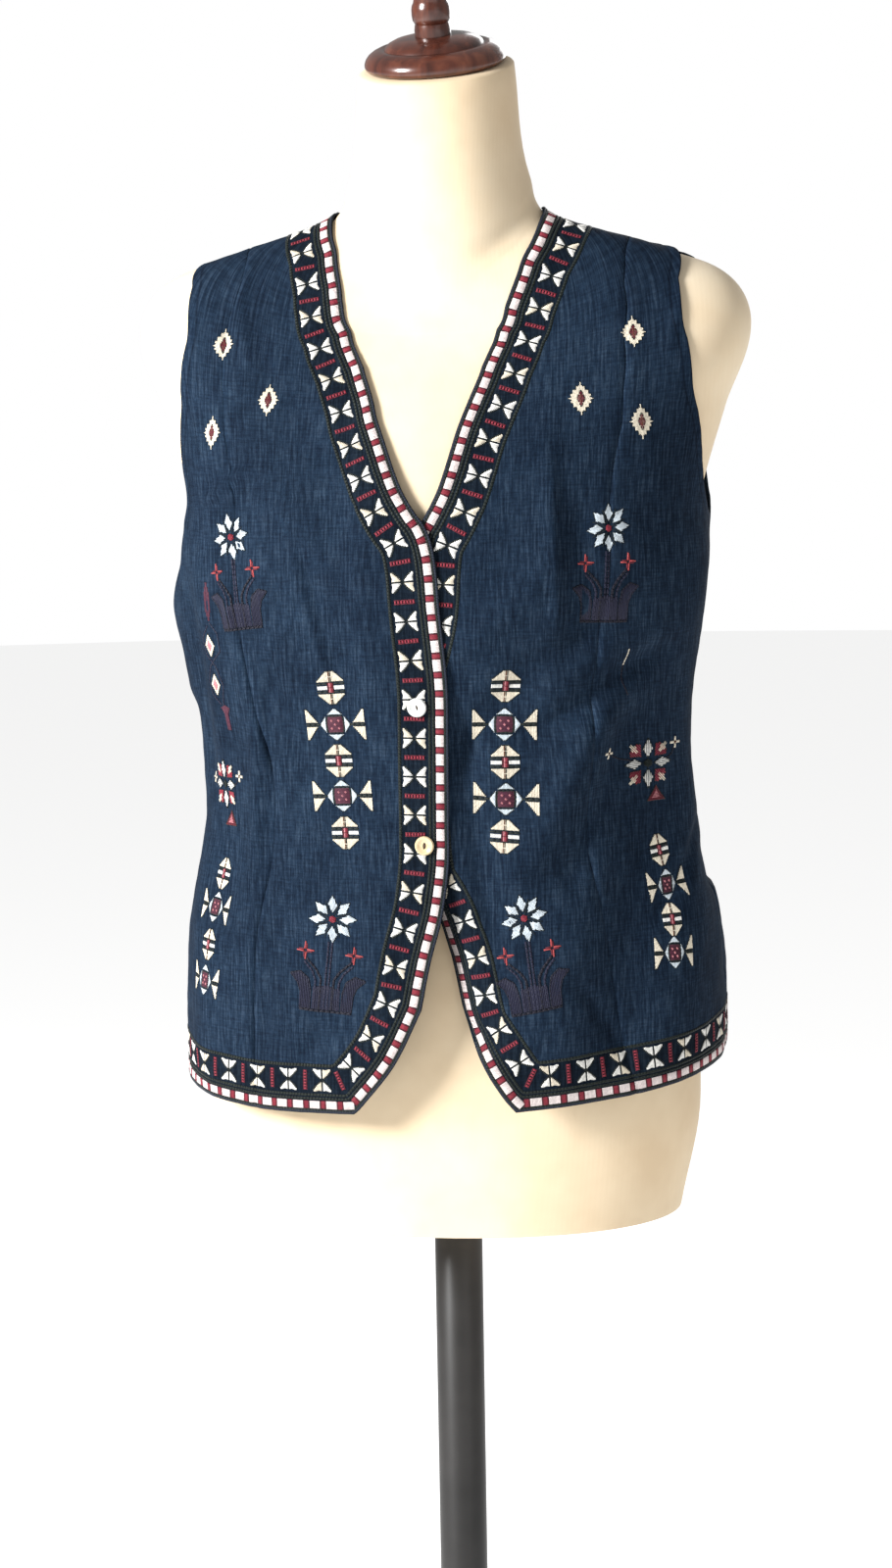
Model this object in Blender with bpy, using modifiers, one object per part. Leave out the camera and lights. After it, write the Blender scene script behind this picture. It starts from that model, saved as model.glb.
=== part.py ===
"""Embroidered denim vest worn by a limbless dress form on a stand.

Blender 4.5, metres, +Z up. The front of the figure looks along -Y, and the wearer's left is +X.
The origin is on the floor, under the middle of the stand's round base.
"""

import math
from collections import namedtuple

import bmesh
import bpy
import numpy as np
from mathutils import Matrix, Vector

# Sizes of the cloth
WALL = 0.0012
STAND_OFF = 0.0015
BACK_LIFT = 0.0009
BACK_LIFT_SHARE = 0.06
NECK_LIFT = 0.0006
NECK_LIFT_FROM, NECK_LIFT_FULL = 10.4, 11.0
SEAM_GAP = 0.0003

# How the two fronts lap at the buttons
LAP_LIFT = 0.0024
LAP_FULL = 0.026
LAP_GONE = 0.048
RIGHT, LEFT = -1, 1

# How the loose lower edge hangs
HANG_TILT = 0.007
HANG_FROM, HANG_FULL = 1.000, 0.840
CURL_DEPTH = 0.019
CURL_WIDTH = 0.030
CURL_TOP, CURL_FOOT = 1.015, 0.850
CURL_FADE = 0.040

# Columns and rows of the cloth grids. The rows lie closer together where the cloth turns over the shoulder.
ROWS = 32
SHARES = np.concatenate([np.arange(27) / ROWS, np.linspace(27 / ROWS, 1, 13)])
CENTRE_COLUMNS = 10
SIDE_COLUMNS = 8
BACK_COLUMNS = 26

# Buttons
BUTTON_RADIUS = 0.0060
BUTTON_THICK = 0.0026
BUTTONS = {"button_upper": (1.0905, 0.0035), "button_lower": (1.0035, 0.0012)}
BUTTON_GAP = 0.0005
REST_GAP = 0.0003

# Form, neck cap and stand
FORM_SIDES = 44
FORM_RINGS = [(0, 7, 0.5), (7, 9, 0.33), (9, 10.5, 0.25), (10.5, 12, 0.15), (12, 13, 0.5)]
LEAN = 0.012
NECK_TILT_SIDE = math.radians(2.0)
NECK_ROUNDING = 0.0022
NECK_INSET = 0.93
CAP_HEIGHT = 0.0190
BASE_RADIUS = 0.210
BASE_THICK = 0.022
POLE_RADIUS = 0.016

Level = namedtuple(
    "Level",
    "name front side back form_width form_front form_back ease_width ease_front ease_back square",
)

# One row for each level of the figure, from the form's foot up to its neck: heights of the level at the
# front, side and back, half width and depths of the form, the vest's ease over it, and how oval it is.
LEVELS = [
    Level("foot", 0.745, 0.745, 0.745, 0.150, 0.092, 0.125, 0.030, 0.032, 0.022, 0.96),
    Level("hem", 0.820, 0.820, 0.820, 0.163, 0.096, 0.128, 0.0135, 0.0245, 0.0105, 0.95),
    Level("high hip", 0.930, 0.930, 0.930, 0.155, 0.093, 0.112, 0.0195, 0.0245, 0.0135, 0.94),
    Level("waist", 1.015, 1.015, 1.015, 0.126, 0.088, 0.088, 0.0335, 0.0265, 0.0185, 0.93),
    Level("under bust", 1.090, 1.090, 1.090, 0.140, 0.108, 0.092, 0.0235, 0.0125, 0.0145, 0.90),
    Level("bust", 1.165, 1.165, 1.165, 0.158, 0.121, 0.102, 0.0165, 0.0055, 0.0085, 0.88),
    Level("armpit", 1.215, 1.215, 1.220, 0.165, 0.116, 0.107, 0.0045, 0.0035, 0.0045, 0.88),
    Level("chest", 1.258, 1.270, 1.275, 0.181, 0.100, 0.106, 0.0, 0.0, 0.0, 0.88),
    Level("shoulder point", 1.295, 1.322, 1.325, 0.1975, 0.080, 0.097, 0.0, 0.0, 0.0, 0.90),
    Level("shoulder top", 1.316, 1.3580, 1.3570, 0.174, 0.066, 0.083, 0.0, 0.0, 0.0, 0.94),
    Level("mid shoulder", 1.330, 1.3745, 1.3725, 0.122, 0.058, 0.067, 0.0, 0.0, 0.0, 0.97),
    Level("neck root", 1.346, 1.393, 1.391, 0.067, 0.053, 0.056, 0.0, 0.0, 0.0, 1.00),
    Level("neck", 1.374, 1.414, 1.420, 0.0585, 0.051, 0.052, 0.0, 0.0, 0.0, 1.00),
    Level("neck top", 1.468, 1.4835, 1.499, 0.0495, 0.0485, 0.0485, 0.0, 0.0, 0.0, 1.00),
]
LEAN_FROM, LEAN_FULL = 9, 13
NECK_ROOT = 11
NECK_TOP = 13

Cut = namedtuple("Cut", "name share height turn")

# The cut of the panels. Share is how far up the panel the point is, height is where its level crosses
# the centre front, and turn is in degrees from the centre front, on the panel's own side.
FRONT_EDGE = {
    RIGHT: [
        Cut("hem corner", 0.0, 0.8343, 15.0),
        Cut("low on the slant", 1.3 / ROWS, 0.8415, 12.6),
        Cut("high on the slant", 2.8 / ROWS, 0.8680, 5.9),
        Cut("edge corner", 4 / ROWS, 0.9003, 1.5),
        Cut("loose edge", 6 / ROWS, 0.9350, -0.4),
        Cut("below the buttons", 8 / ROWS, 0.965, -1.9),
        Cut("lower button", 10 / ROWS, 1.004, -2.8),
        Cut("upper button", 14 / ROWS, 1.090, -2.3),
        Cut("top of the lap", 17 / ROWS, 1.150, -1.3),
        Cut("neckline crossing", 19 / ROWS, 1.192, -0.2),
        Cut("lower neckline", 21 / ROWS, 1.222, 2.25),
        Cut("middle neckline", 23 / ROWS, 1.257, 5.4),
        Cut("upper neckline", 26 / ROWS, 1.291, 8.4),
        Cut("neckline at the slope", 28 / ROWS, 1.3200, 16.2),
        Cut("collar bone", 29 / ROWS, 1.3325, 27.5),
        Cut("front of the neck", 30 / ROWS, 1.3400, 43.0),
        Cut("beside the neck", 31 / ROWS, 1.3430, 62.0),
        Cut("neck point", 1.0, 1.3490, 90.0),
    ],
    LEFT: [
        Cut("hem corner", 0.0, 0.8325, 16.2),
        Cut("low on the slant", 1.3 / ROWS, 0.8450, 13.0),
        Cut("high on the slant", 2.8 / ROWS, 0.8700, 8.6),
        Cut("edge corner", 4 / ROWS, 0.8992, 5.6),
        Cut("rolled edge", 6 / ROWS, 0.9330, 3.4),
        Cut("below the buttons", 8 / ROWS, 0.965, 0.3),
        Cut("lower button", 10 / ROWS, 1.004, -2.2),
        Cut("upper button", 14 / ROWS, 1.090, -2.4),
        Cut("top of the lap", 17 / ROWS, 1.150, -1.6),
        Cut("neckline crossing", 19 / ROWS, 1.192, -0.2),
        Cut("lower neckline", 21 / ROWS, 1.222, 2.5),
        Cut("middle neckline", 23 / ROWS, 1.257, 4.8),
        Cut("upper neckline", 26 / ROWS, 1.291, 7.5),
        Cut("neckline at the slope", 28 / ROWS, 1.3190, 13.2),
        Cut("collar bone", 29 / ROWS, 1.3310, 22.5),
        Cut("front of the neck", 30 / ROWS, 1.3390, 38.0),
        Cut("beside the neck", 31 / ROWS, 1.3425, 58.0),
        Cut("neck point", 1.0, 1.3490, 90.0),
    ],
}
FRONT_SEAM = {
    RIGHT: [
        Cut("hem", 0.0, 0.8345, 40.0),
        Cut("high hip", 6 / ROWS, 0.938, 39.6),
        Cut("waist", 11 / ROWS, 1.034, 37.3),
        Cut("under bust", 14 / ROWS, 1.092, 40.0),
        Cut("bust", 17 / ROWS, 1.150, 40.5),
        Cut("armpit level", 20 / ROWS, 1.203, 42.0),
        Cut("chest", 23 / ROWS, 1.250, 43.3),
        Cut("upper chest", 25 / ROWS, 1.275, 40.6),
        Cut("below the slope", 27 / ROWS, 1.2955, 39.3),
        Cut("slope", 28 / ROWS, 1.3035, 40.2),
        Cut("over the slope", 29 / ROWS, 1.3130, 43.5),
        Cut("under the shoulder", 30 / ROWS, 1.3215, 51.5),
        Cut("near the shoulder", 31 / ROWS, 1.3275, 67.5),
        Cut("shoulder", 1.0, 1.3300, 90.0),
    ],
    LEFT: [
        Cut("hem", 0.0, 0.8350, 44.5),
        Cut("high hip", 6 / ROWS, 0.940, 37.8),
        Cut("waist", 11 / ROWS, 1.035, 35.8),
        Cut("under bust", 14 / ROWS, 1.092, 36.1),
        Cut("bust", 17 / ROWS, 1.150, 36.6),
        Cut("armpit level", 20 / ROWS, 1.205, 39.0),
        Cut("chest", 23 / ROWS, 1.252, 39.2),
        Cut("upper chest", 25 / ROWS, 1.277, 36.6),
        Cut("below the slope", 27 / ROWS, 1.2975, 35.8),
        Cut("slope", 28 / ROWS, 1.3065, 37.6),
        Cut("over the slope", 29 / ROWS, 1.3150, 42.4),
        Cut("under the shoulder", 30 / ROWS, 1.3220, 50.5),
        Cut("near the shoulder", 31 / ROWS, 1.3282, 68.0),
        Cut("shoulder", 1.0, 1.3308, 90.0),
    ],
}
FRONT_SIDE = {
    RIGHT: [
        Cut("hem", 0.0, 0.8445, 90.0),
        Cut("high hip", 6 / ROWS, 0.940, 90.0),
        Cut("waist", 11 / ROWS, 1.025, 90.0),
        Cut("bust", 16 / ROWS, 1.115, 90.0),
        Cut("armpit", 20 / ROWS, 1.188, 90.0),
        Cut("armhole foot", 21 / ROWS, 1.1975, 78.0),
        Cut("armhole low", 22 / ROWS, 1.2110, 70.0),
        Cut("armhole curve", 24 / ROWS, 1.2400, 66.5),
        Cut("armhole middle", 26 / ROWS, 1.2700, 56.6),
        Cut("armhole high", 28 / ROWS, 1.2980, 50.5),
        Cut("armhole by the shoulder", 30 / ROWS, 1.3150, 61.5),
        Cut("shoulder tip", 1.0, 1.3228, 90.0),
    ],
    LEFT: [
        Cut("hem", 0.0, 0.8430, 90.0),
        Cut("high hip", 6 / ROWS, 0.946, 90.0),
        Cut("waist", 11 / ROWS, 1.032, 90.0),
        Cut("bust", 16 / ROWS, 1.127, 90.0),
        Cut("armpit", 20 / ROWS, 1.201, 90.0),
        Cut("armhole foot", 21 / ROWS, 1.2085, 83.0),
        Cut("armhole low", 22 / ROWS, 1.2200, 77.5),
        Cut("armhole curve", 24 / ROWS, 1.2470, 68.0),
        Cut("armhole middle", 26 / ROWS, 1.2745, 56.0),
        Cut("armhole high", 28 / ROWS, 1.3000, 51.0),
        Cut("armhole by the shoulder", 30 / ROWS, 1.3160, 60.5),
        Cut("shoulder tip", 1.0, 1.3243, 90.0),
    ],
}
BACK_ARMHOLE = [
    Cut("armhole foot", 22 / ROWS, 1.2190, 102.0),
    Cut("armhole low", 24 / ROWS, 1.2440, 113.0),
    Cut("armhole middle", 26 / ROWS, 1.2720, 120.0),
    Cut("armhole high", 28 / ROWS, 1.2980, 121.0),
    Cut("armhole by the shoulder", 30 / ROWS, 1.3145, 110.0),
]
ARMPIT_ROW = 4
BACK_NECK_HEIGHT = 1.3400
BACK_NECK_SHARE = 0.42
BACK_DIP_FROM = 0.55
BACK_HEM_HEIGHT = 0.849

Fold = namedtuple("Fold", "name side top_height top_girth foot_height foot_girth width depth")

# The largest soft folds: a ridge has a depth above zero, and a trough one below.
FOLDS = [
    Fold("bust ridge", LEFT, 1.240, 0.074, 1.060, 0.082, 0.016, 0.0035),
    Fold("pull above the button", LEFT, 1.150, 0.110, 1.060, 0.020, 0.022, -0.0040),
    Fold("hip trough", LEFT, 1.110, 0.150, 0.870, 0.118, 0.024, -0.0060),
    Fold("hip ridge", LEFT, 1.080, 0.105, 0.880, 0.078, 0.022, 0.0040),
    Fold("side ridge", LEFT, 1.060, 0.190, 0.880, 0.168, 0.022, 0.0045),
    Fold("right armhole pinch", RIGHT, 1.225, 0.240, 1.172, 0.240, 0.030, -0.0085),
    Fold("right side bulge", RIGHT, 1.160, 0.230, 1.090, 0.216, 0.026, 0.0045),
    Fold("left side tuck", LEFT, 1.190, 0.262, 1.035, 0.255, 0.050, -0.0105),
    Fold("left hip tuck", LEFT, 0.990, 0.262, 0.960, 0.262, 0.040, -0.0050),
    Fold("side trough", RIGHT, 1.175, 0.180, 1.040, 0.176, 0.014, -0.0045),
    Fold("waist trough", RIGHT, 1.080, 0.140, 0.960, 0.146, 0.018, -0.0035),
    Fold("flank ridge", RIGHT, 1.000, 0.170, 0.850, 0.160, 0.022, 0.0040),
    Fold("right back trough", RIGHT, 1.120, 0.330, 0.850, 0.345, 0.026, -0.0055),
    Fold("left back trough", LEFT, 1.100, 0.345, 0.850, 0.325, 0.028, -0.0050),
    Fold("right back ridge", RIGHT, 1.060, 0.395, 0.850, 0.405, 0.024, 0.0040),
    Fold("left back ridge", LEFT, 1.070, 0.285, 0.850, 0.270, 0.024, 0.0040),
]


def clear_scene():
    for obj in list(bpy.data.objects):
        bpy.data.objects.remove(obj, do_unlink=True)


def new_collection(name):
    collection = bpy.data.collections.new(name)
    bpy.context.scene.collection.children.link(collection)
    return collection


def material(name, colour, roughness, metallic=0.0):
    made = bpy.data.materials.new(name)
    made.use_nodes = True
    shader = made.node_tree.nodes["Principled BSDF"]
    shader.inputs["Base Color"].default_value = (*colour, 1.0)
    shader.inputs["Roughness"].default_value = roughness
    shader.inputs["Metallic"].default_value = metallic
    return made


# The figure's surface


def slope(values, heights, k):
    """Slope of a column at row k that never overshoots its neighbours."""
    before = (values[k] - values[k - 1]) / (heights[k] - heights[k - 1])
    after = (values[k + 1] - values[k]) / (heights[k + 1] - heights[k])
    if before * after <= 0:
        return 0.0
    low, high = heights[k] - heights[k - 1], heights[k + 1] - heights[k]
    mean = (before * high + after * low) / (low + high)
    return math.copysign(min(abs(mean), 3 * abs(before), 3 * abs(after)), mean)


def column(name, place):
    """A column of LEVELS as a smooth curve. Place counts rows, and 2.5 is midway from row 2 to row 3."""
    values = np.array([getattr(level, name) for level in LEVELS])
    heights = np.array([level.front for level in LEVELS])
    last = len(values) - 1
    slopes = np.array(
        [(values[1] - values[0]) / (heights[1] - heights[0])]
        + [slope(values, heights, k) for k in range(1, last)]
        + [(values[last] - values[last - 1]) / (heights[last] - heights[last - 1])]
    )
    place = np.clip(np.asarray(place, float), 0, last - 1e-9)
    k = np.floor(place).astype(int)
    f = place - k
    step = heights[k + 1] - heights[k]
    return (
        (2 * f**3 - 3 * f**2 + 1) * values[k]
        + (f**3 - 2 * f**2 + f) * step * slopes[k]
        + (3 * f**2 - 2 * f**3) * values[k + 1]
        + (f**3 - f**2) * step * slopes[k + 1]
    )


def figure(turn, place, ease):
    """Points of the figure: turn in degrees from the centre front to +X. Ease 0 gives the form, 1 the vest."""
    angle = np.radians(turn)
    across, along = np.sin(angle), np.cos(angle)
    width = column("form_width", place) + ease * column("ease_width", place)
    front = column("form_front", place) + ease * column("ease_front", place)
    back = column("form_back", place) + ease * column("ease_back", place)
    square = column("square", place)
    x = width * np.sign(across) * np.abs(across) ** square
    y = np.where(along >= 0, -front, back) * np.abs(along) ** square
    y = y - LEAN * np.clip((place - LEAN_FROM) / (LEAN_FULL - LEAN_FROM), 0, 1)
    side = column("side", place)
    end = np.where(along >= 0, column("front", place), column("back", place))
    tilt = np.clip((place - NECK_ROOT) / 2, 0, 1) * math.tan(NECK_TILT_SIDE)
    flatten = np.clip(place - NECK_ROOT, 0, 1)
    z = side + (end - side) * np.abs(along) ** (2 - flatten) + tilt * x
    return np.stack(np.broadcast_arrays(x, y, z), -1)


TURN_GRID = np.linspace(0, 180, 361)
PLACE_GRID = np.linspace(0, len(LEVELS) - 1, 261)
HEIGHT_GRID = column("front", PLACE_GRID)


def girth_rows():
    """How far round the vest each turn is from the centre front, one row for each place."""
    turns, places = np.meshgrid(TURN_GRID, PLACE_GRID)
    steps = np.linalg.norm(np.diff(figure(turns, places, 1.0), axis=1), axis=2)
    return np.concatenate([np.zeros((len(PLACE_GRID), 1)), np.cumsum(steps, axis=1)], axis=1)


GIRTHS = girth_rows()


def place_at(height):
    return np.interp(height, HEIGHT_GRID, PLACE_GRID)


def girth_row(place):
    k = min(int(place / PLACE_GRID[1]), len(PLACE_GRID) - 2)
    f = place / PLACE_GRID[1] - k
    return GIRTHS[k] * (1 - f) + GIRTHS[k + 1] * f


def turn_at(girth, place):
    """The turn of a point that lies this far round the vest."""
    return math.copysign(np.interp(abs(girth), girth_row(place), TURN_GRID), girth)


def girth_at(turn, place):
    """Distance round from the centre front, for arrays of turns and places."""
    turn, place = np.broadcast_arrays(np.abs(turn), place)
    rows = np.clip(place / PLACE_GRID[1], 0, len(PLACE_GRID) - 1.001)
    cols = np.clip(turn / TURN_GRID[1], 0, len(TURN_GRID) - 1.001)
    r, c = rows.astype(int), cols.astype(int)
    fr, fc = rows - r, cols - c
    low = GIRTHS[r, c] * (1 - fc) + GIRTHS[r, c + 1] * fc
    high = GIRTHS[r + 1, c] * (1 - fc) + GIRTHS[r + 1, c + 1] * fc
    return low * (1 - fr) + high * fr


def normals(turn, place):
    """Outward unit normals of the vest's surface."""
    small_turn, small_place = 0.2, 0.02
    round_it = figure(turn + small_turn, place, 1.0) - figure(turn - small_turn, place, 1.0)
    up_it = figure(turn, place + small_place, 1.0) - figure(turn, place - small_place, 1.0)
    out = np.cross(round_it, up_it)
    return out / np.linalg.norm(out, axis=-1, keepdims=True)


def ramp(value, low, high):
    """Smooth step from 0 at low to 1 at high."""
    f = np.clip((value - low) / (high - low), 0, 1)
    return f * f * (3 - 2 * f)


def fold_relief(side, girth, height):
    """How far the soft folds lift the cloth of one side, or sink it where the number is below zero."""
    relief = np.zeros_like(girth)
    for fold in FOLDS:
        if fold.side != side:
            continue
        along = (fold.top_height - height) / (fold.top_height - fold.foot_height)
        middle = fold.top_girth + (fold.foot_girth - fold.top_girth) * np.clip(along, 0, 1)
        across = np.exp(-(((girth - middle) / fold.width) ** 2))
        fade = ramp(along, -0.15, 0.25) * ramp(1.25 - along, 0.0, 0.35)
        relief += fold.depth * across * fade
    return relief


def cloth(side, turn, place, lift=0.0, laps=False):
    """Points of the vest's middle surface. Side is the sign of x, and turn is counted on that side."""
    turn, place = np.broadcast_arrays(np.asarray(turn, float), np.asarray(place, float))
    height = column("front", place)
    girth = girth_at(turn, place) * np.where(turn < 0, -1, 1)
    out = STAND_OFF + lift + fold_relief(side, girth, height)
    out = out + NECK_LIFT * ramp(place, NECK_LIFT_FROM, NECK_LIFT_FULL)
    if laps and side == RIGHT:
        out = out + LAP_LIFT * ramp(-girth, -LAP_GONE, -LAP_FULL)
    if laps and side == LEFT:
        curl = np.clip(1 - (girth - edge_girth(height)) / CURL_WIDTH, 0, 1) ** 2
        band = ramp(height, CURL_FOOT, CURL_FOOT + CURL_FADE) * ramp(-height, -CURL_TOP, CURL_FADE - CURL_TOP)
        out = out - CURL_DEPTH * curl * band
    points = figure(side * turn, place, 1.0) + normals(side * turn, place) * out[..., None]
    hang = ramp(-height, -HANG_FROM, -HANG_FULL)
    points[..., 2] += HANG_TILT * hang * points[..., 0] / LEVELS[1].form_width
    return points


# The cut of the panels


def edge_girth(height):
    """How far round the left front's loose edge lies at a height."""
    rows = [cut for cut in FRONT_EDGE[LEFT] if cut.height < 1.2]
    turn = np.interp(height, [cut.height for cut in rows], [cut.turn for cut in rows])
    return girth_at(turn, place_at(height)) * np.sign(turn)


def edge_curve(rows, corners=()):
    """Place and turn along a cut edge as two smooth functions of share. Corners are sharp."""
    shares = np.array([row.share for row in rows])
    places = np.array([place_at(row.height) for row in rows])
    turns = np.array([row.turn for row in rows])
    ends = [0, *corners, len(rows) - 1]
    pieces = list(zip(ends[:-1], ends[1:]))

    def at(share):
        found = np.zeros((2, len(share)))
        for first, last in pieces:
            inside = (share >= shares[first] - 1e-9) & (share <= shares[last] + 1e-9)
            for which, values in enumerate((places, turns)):
                part = smooth(shares[first : last + 1], values[first : last + 1], share[inside])
                found[which, inside] = part
        return found

    return at


def smooth(knots, values, wanted):
    """Smooth curve through the knots that doesn't overshoot them."""
    if len(knots) == 2:
        return np.interp(wanted, knots, values)
    slopes = [slope(values, knots, k) for k in range(1, len(knots) - 1)]
    start = 1.5 * (values[1] - values[0]) / (knots[1] - knots[0]) - 0.5 * slopes[0]
    end = 1.5 * (values[-1] - values[-2]) / (knots[-1] - knots[-2]) - 0.5 * slopes[-1]
    slopes = np.array([start, *slopes, end])
    k = np.clip(np.searchsorted(knots, wanted, side="right") - 1, 0, len(knots) - 2)
    step = knots[k + 1] - knots[k]
    f = (wanted - knots[k]) / step
    return (
        (2 * f**3 - 3 * f**2 + 1) * values[k]
        + (f**3 - 2 * f**2 + f) * step * slopes[k]
        + (3 * f**2 - 2 * f**3) * values[k + 1]
        + (f**3 - f**2) * step * slopes[k + 1]
    )


def front_panel(side, which, shares, across):
    """Places and turns of a front panel's grid, from its inner edge at across 0 to its outer edge at 1."""
    edge = edge_curve(FRONT_EDGE[side], corners=(3,))(shares)
    outer = edge_curve(FRONT_SIDE[side], corners=(ARMPIT_ROW,))(shares)
    seam = edge_curve(FRONT_SEAM[side])(shares)
    inner, far = (edge, seam) if which == "centre" else (seam, outer)
    grid = inner[:, :, None] * (1 - across) + far[:, :, None] * across
    return grid[0], grid[1]


def back_panel(side, shares, across):
    """Places and turns of one half of the back, from the centre back at across 0 to its side at 1."""
    rows = FRONT_SIDE[side][: ARMPIT_ROW + 1] + BACK_ARMHOLE + FRONT_SIDE[side][-1:]
    outer = edge_curve(rows, corners=(ARMPIT_ROW,))(shares)
    middle_heights = BACK_HEM_HEIGHT + (BACK_NECK_HEIGHT - BACK_HEM_HEIGHT) * shares
    middle = np.stack([place_at(middle_heights), np.full_like(shares, 180.0)])
    grid = middle[:, :, None] * (1 - across) + outer[:, :, None] * across
    neck_place = place_at(FRONT_EDGE[side][-1].height)
    start, end = middle[:, -1], outer[:, -1]
    to_neck = np.clip(across / BACK_NECK_SHARE, 0, 1)
    past_neck = np.clip((across - BACK_NECK_SHARE) / (1 - BACK_NECK_SHARE), 0, 1)
    dip = np.sin(np.radians(90 * to_neck)) ** 2
    top_place = start[0] + (neck_place - start[0]) * dip + (end[0] - neck_place) * past_neck
    top_turn = 180.0 - 90.0 * to_neck
    straight = start[:, None] * (1 - across) + end[:, None] * across
    away = np.stack([top_place, top_turn]) - straight
    grid += away[:, None, :] * (ramp(shares, BACK_DIP_FROM, 1.0) * shares**2)[None, :, None]
    return grid[0], grid[1]


def parted(turn, first_gap, last_gap, girth_side):
    """Moves the first and last columns off their seams by half the seam gap."""
    moved = turn.copy()
    per_degree = girth_side / 90.0
    moved[:, 0] += first_gap / per_degree[:, 0]
    moved[:, -1] -= last_gap / per_degree[:, -1]
    return moved


# From grids to solids


def grid_object(name, collection, points, finish):
    """An open sheet through a grid of points, thickened to the cloth's wall."""
    mesh = bpy.data.meshes.new(name)
    rows, columns = points.shape[:2]
    sheet = bmesh.new()
    corners = [[sheet.verts.new(points[r, c]) for c in range(columns)] for r in range(rows)]
    for r in range(rows - 1):
        for c in range(columns - 1):
            sheet.faces.new((corners[r][c], corners[r][c + 1], corners[r + 1][c + 1], corners[r + 1][c]))
    sheet.to_mesh(mesh)
    sheet.free()
    mesh.shade_smooth()
    obj = bpy.data.objects.new(name, mesh)
    collection.objects.link(obj)
    obj.data.materials.append(finish)
    wall = obj.modifiers.new("wall", "SOLIDIFY")
    wall.thickness = WALL
    wall.offset = 0.0
    return obj


def front_object(side, which, collection, finish):
    columns = CENTRE_COLUMNS if which == "centre" else SIDE_COLUMNS
    places, turns = front_panel(side, which, SHARES, np.linspace(0, 1, columns + 1))
    half = SEAM_GAP / 2
    turns = parted(turns, half if which == "side" else 0.0, half, girth_at(90.0, places))
    turns[-1, :] -= SEAM_GAP / 2 / girth_at(90.0, places[-1]) * 90.0
    points = cloth(side, turns, places, laps=which == "centre")
    if side == RIGHT:
        points = points[:, ::-1]
    name = ("left" if side == LEFT else "right") + "_front_" + which
    return grid_object(name, collection, points, finish)


def back_object(collection, finish):
    across = np.linspace(0, 1, BACK_COLUMNS // 2 + 1)
    lift = (BACK_LIFT * ramp(1 - SHARES, 0.0, BACK_LIFT_SHARE))[:, None]
    halves = {}
    for side in (LEFT, RIGHT):
        places, turns = back_panel(side, SHARES, across)
        turns[:, -1] += SEAM_GAP / 2 / girth_at(90.0, places[:, -1]) * 90.0
        past_neck = across >= BACK_NECK_SHARE - 1e-9
        turns[-1, past_neck] += SEAM_GAP / girth_at(90.0, places[-1, past_neck]) * 90.0
        halves[side] = cloth(side, turns, places, lift=lift)
    left, right = halves[LEFT], halves[RIGHT]
    middle = (left[:, :1] + right[:, :1]) / 2
    points = np.concatenate([left[:, :0:-1], middle, right[:, 1:]], axis=1)
    return grid_object("back_panel", collection, points, finish)


def torso_object(collection, finish):
    """The form's closed torso, from its flat foot to its flat neck top."""
    body = bmesh.new()
    stretches = [np.arange(first, last, step) for first, last, step in FORM_RINGS]
    places = np.concatenate([*stretches, [NECK_TOP]])
    turns = np.arange(FORM_SIDES) * 360.0 / FORM_SIDES
    signed = np.where(turns > 180, turns - 360, turns)
    rings = []
    for place in places:
        points = figure(signed, np.full_like(signed, place), 0.0)
        rings.append([body.verts.new(p) for p in points])
    rim = np.array([v.co for v in rings[-1]])
    middle = rim.mean(axis=0)
    inner_rim = middle + (rim - middle) * NECK_INSET + NECK_ROUNDING * np.array(cap_axis())
    rings.append([body.verts.new(p) for p in inner_rim])
    for low, high in zip(rings[:-1], rings[1:]):
        for c in range(FORM_SIDES):
            d = (c + 1) % FORM_SIDES
            body.faces.new((low[c], low[d], high[d], high[c]))
    body.faces.new(list(reversed(rings[0])))
    body.faces.new(rings[-1])
    mesh = bpy.data.meshes.new("form_torso")
    bmesh.ops.triangulate(body, faces=[f for f in body.faces if len(f.verts) > 4])
    body.to_mesh(mesh)
    body.free()
    mesh.shade_smooth()
    obj = bpy.data.objects.new("form_torso", mesh)
    collection.objects.link(obj)
    obj.data.materials.append(finish)
    return obj


def turned_object(name, collection, profile, steps, finish, origin=(0, 0, 0), axis=(0, 0, 1)):
    """A turned solid: its profile is (radius, height) from the top of the axis down to the bottom."""
    mesh = bpy.data.meshes.new(name)
    count = len(profile)
    mesh.from_pydata([(r, 0, z) for r, z in profile], [(k, k + 1) for k in range(count - 1)], [])
    obj = bpy.data.objects.new(name, mesh)
    collection.objects.link(obj)
    obj.data.materials.append(finish)
    turn = obj.modifiers.new("turn", "SCREW")
    turn.steps = turn.render_steps = steps
    turn.use_merge_vertices = True
    turn.merge_threshold = 0.00005
    turn.use_smooth_shade = True
    upright = Vector(axis).normalized().to_track_quat("Z", "Y").to_matrix().to_4x4()
    obj.matrix_world = Matrix.Translation(origin) @ upright
    return obj


def neck_ring():
    """The neck top's front, left, back and right points."""
    return figure(np.array([0.0, 90.0, 180.0, -90.0]), np.full(4, float(NECK_TOP)), 0.0)


def cap_axis():
    """Outward direction of the form's neck top."""
    ring = neck_ring()
    return Vector(np.cross(ring[1] - ring[3], ring[2] - ring[0])).normalized()


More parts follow.
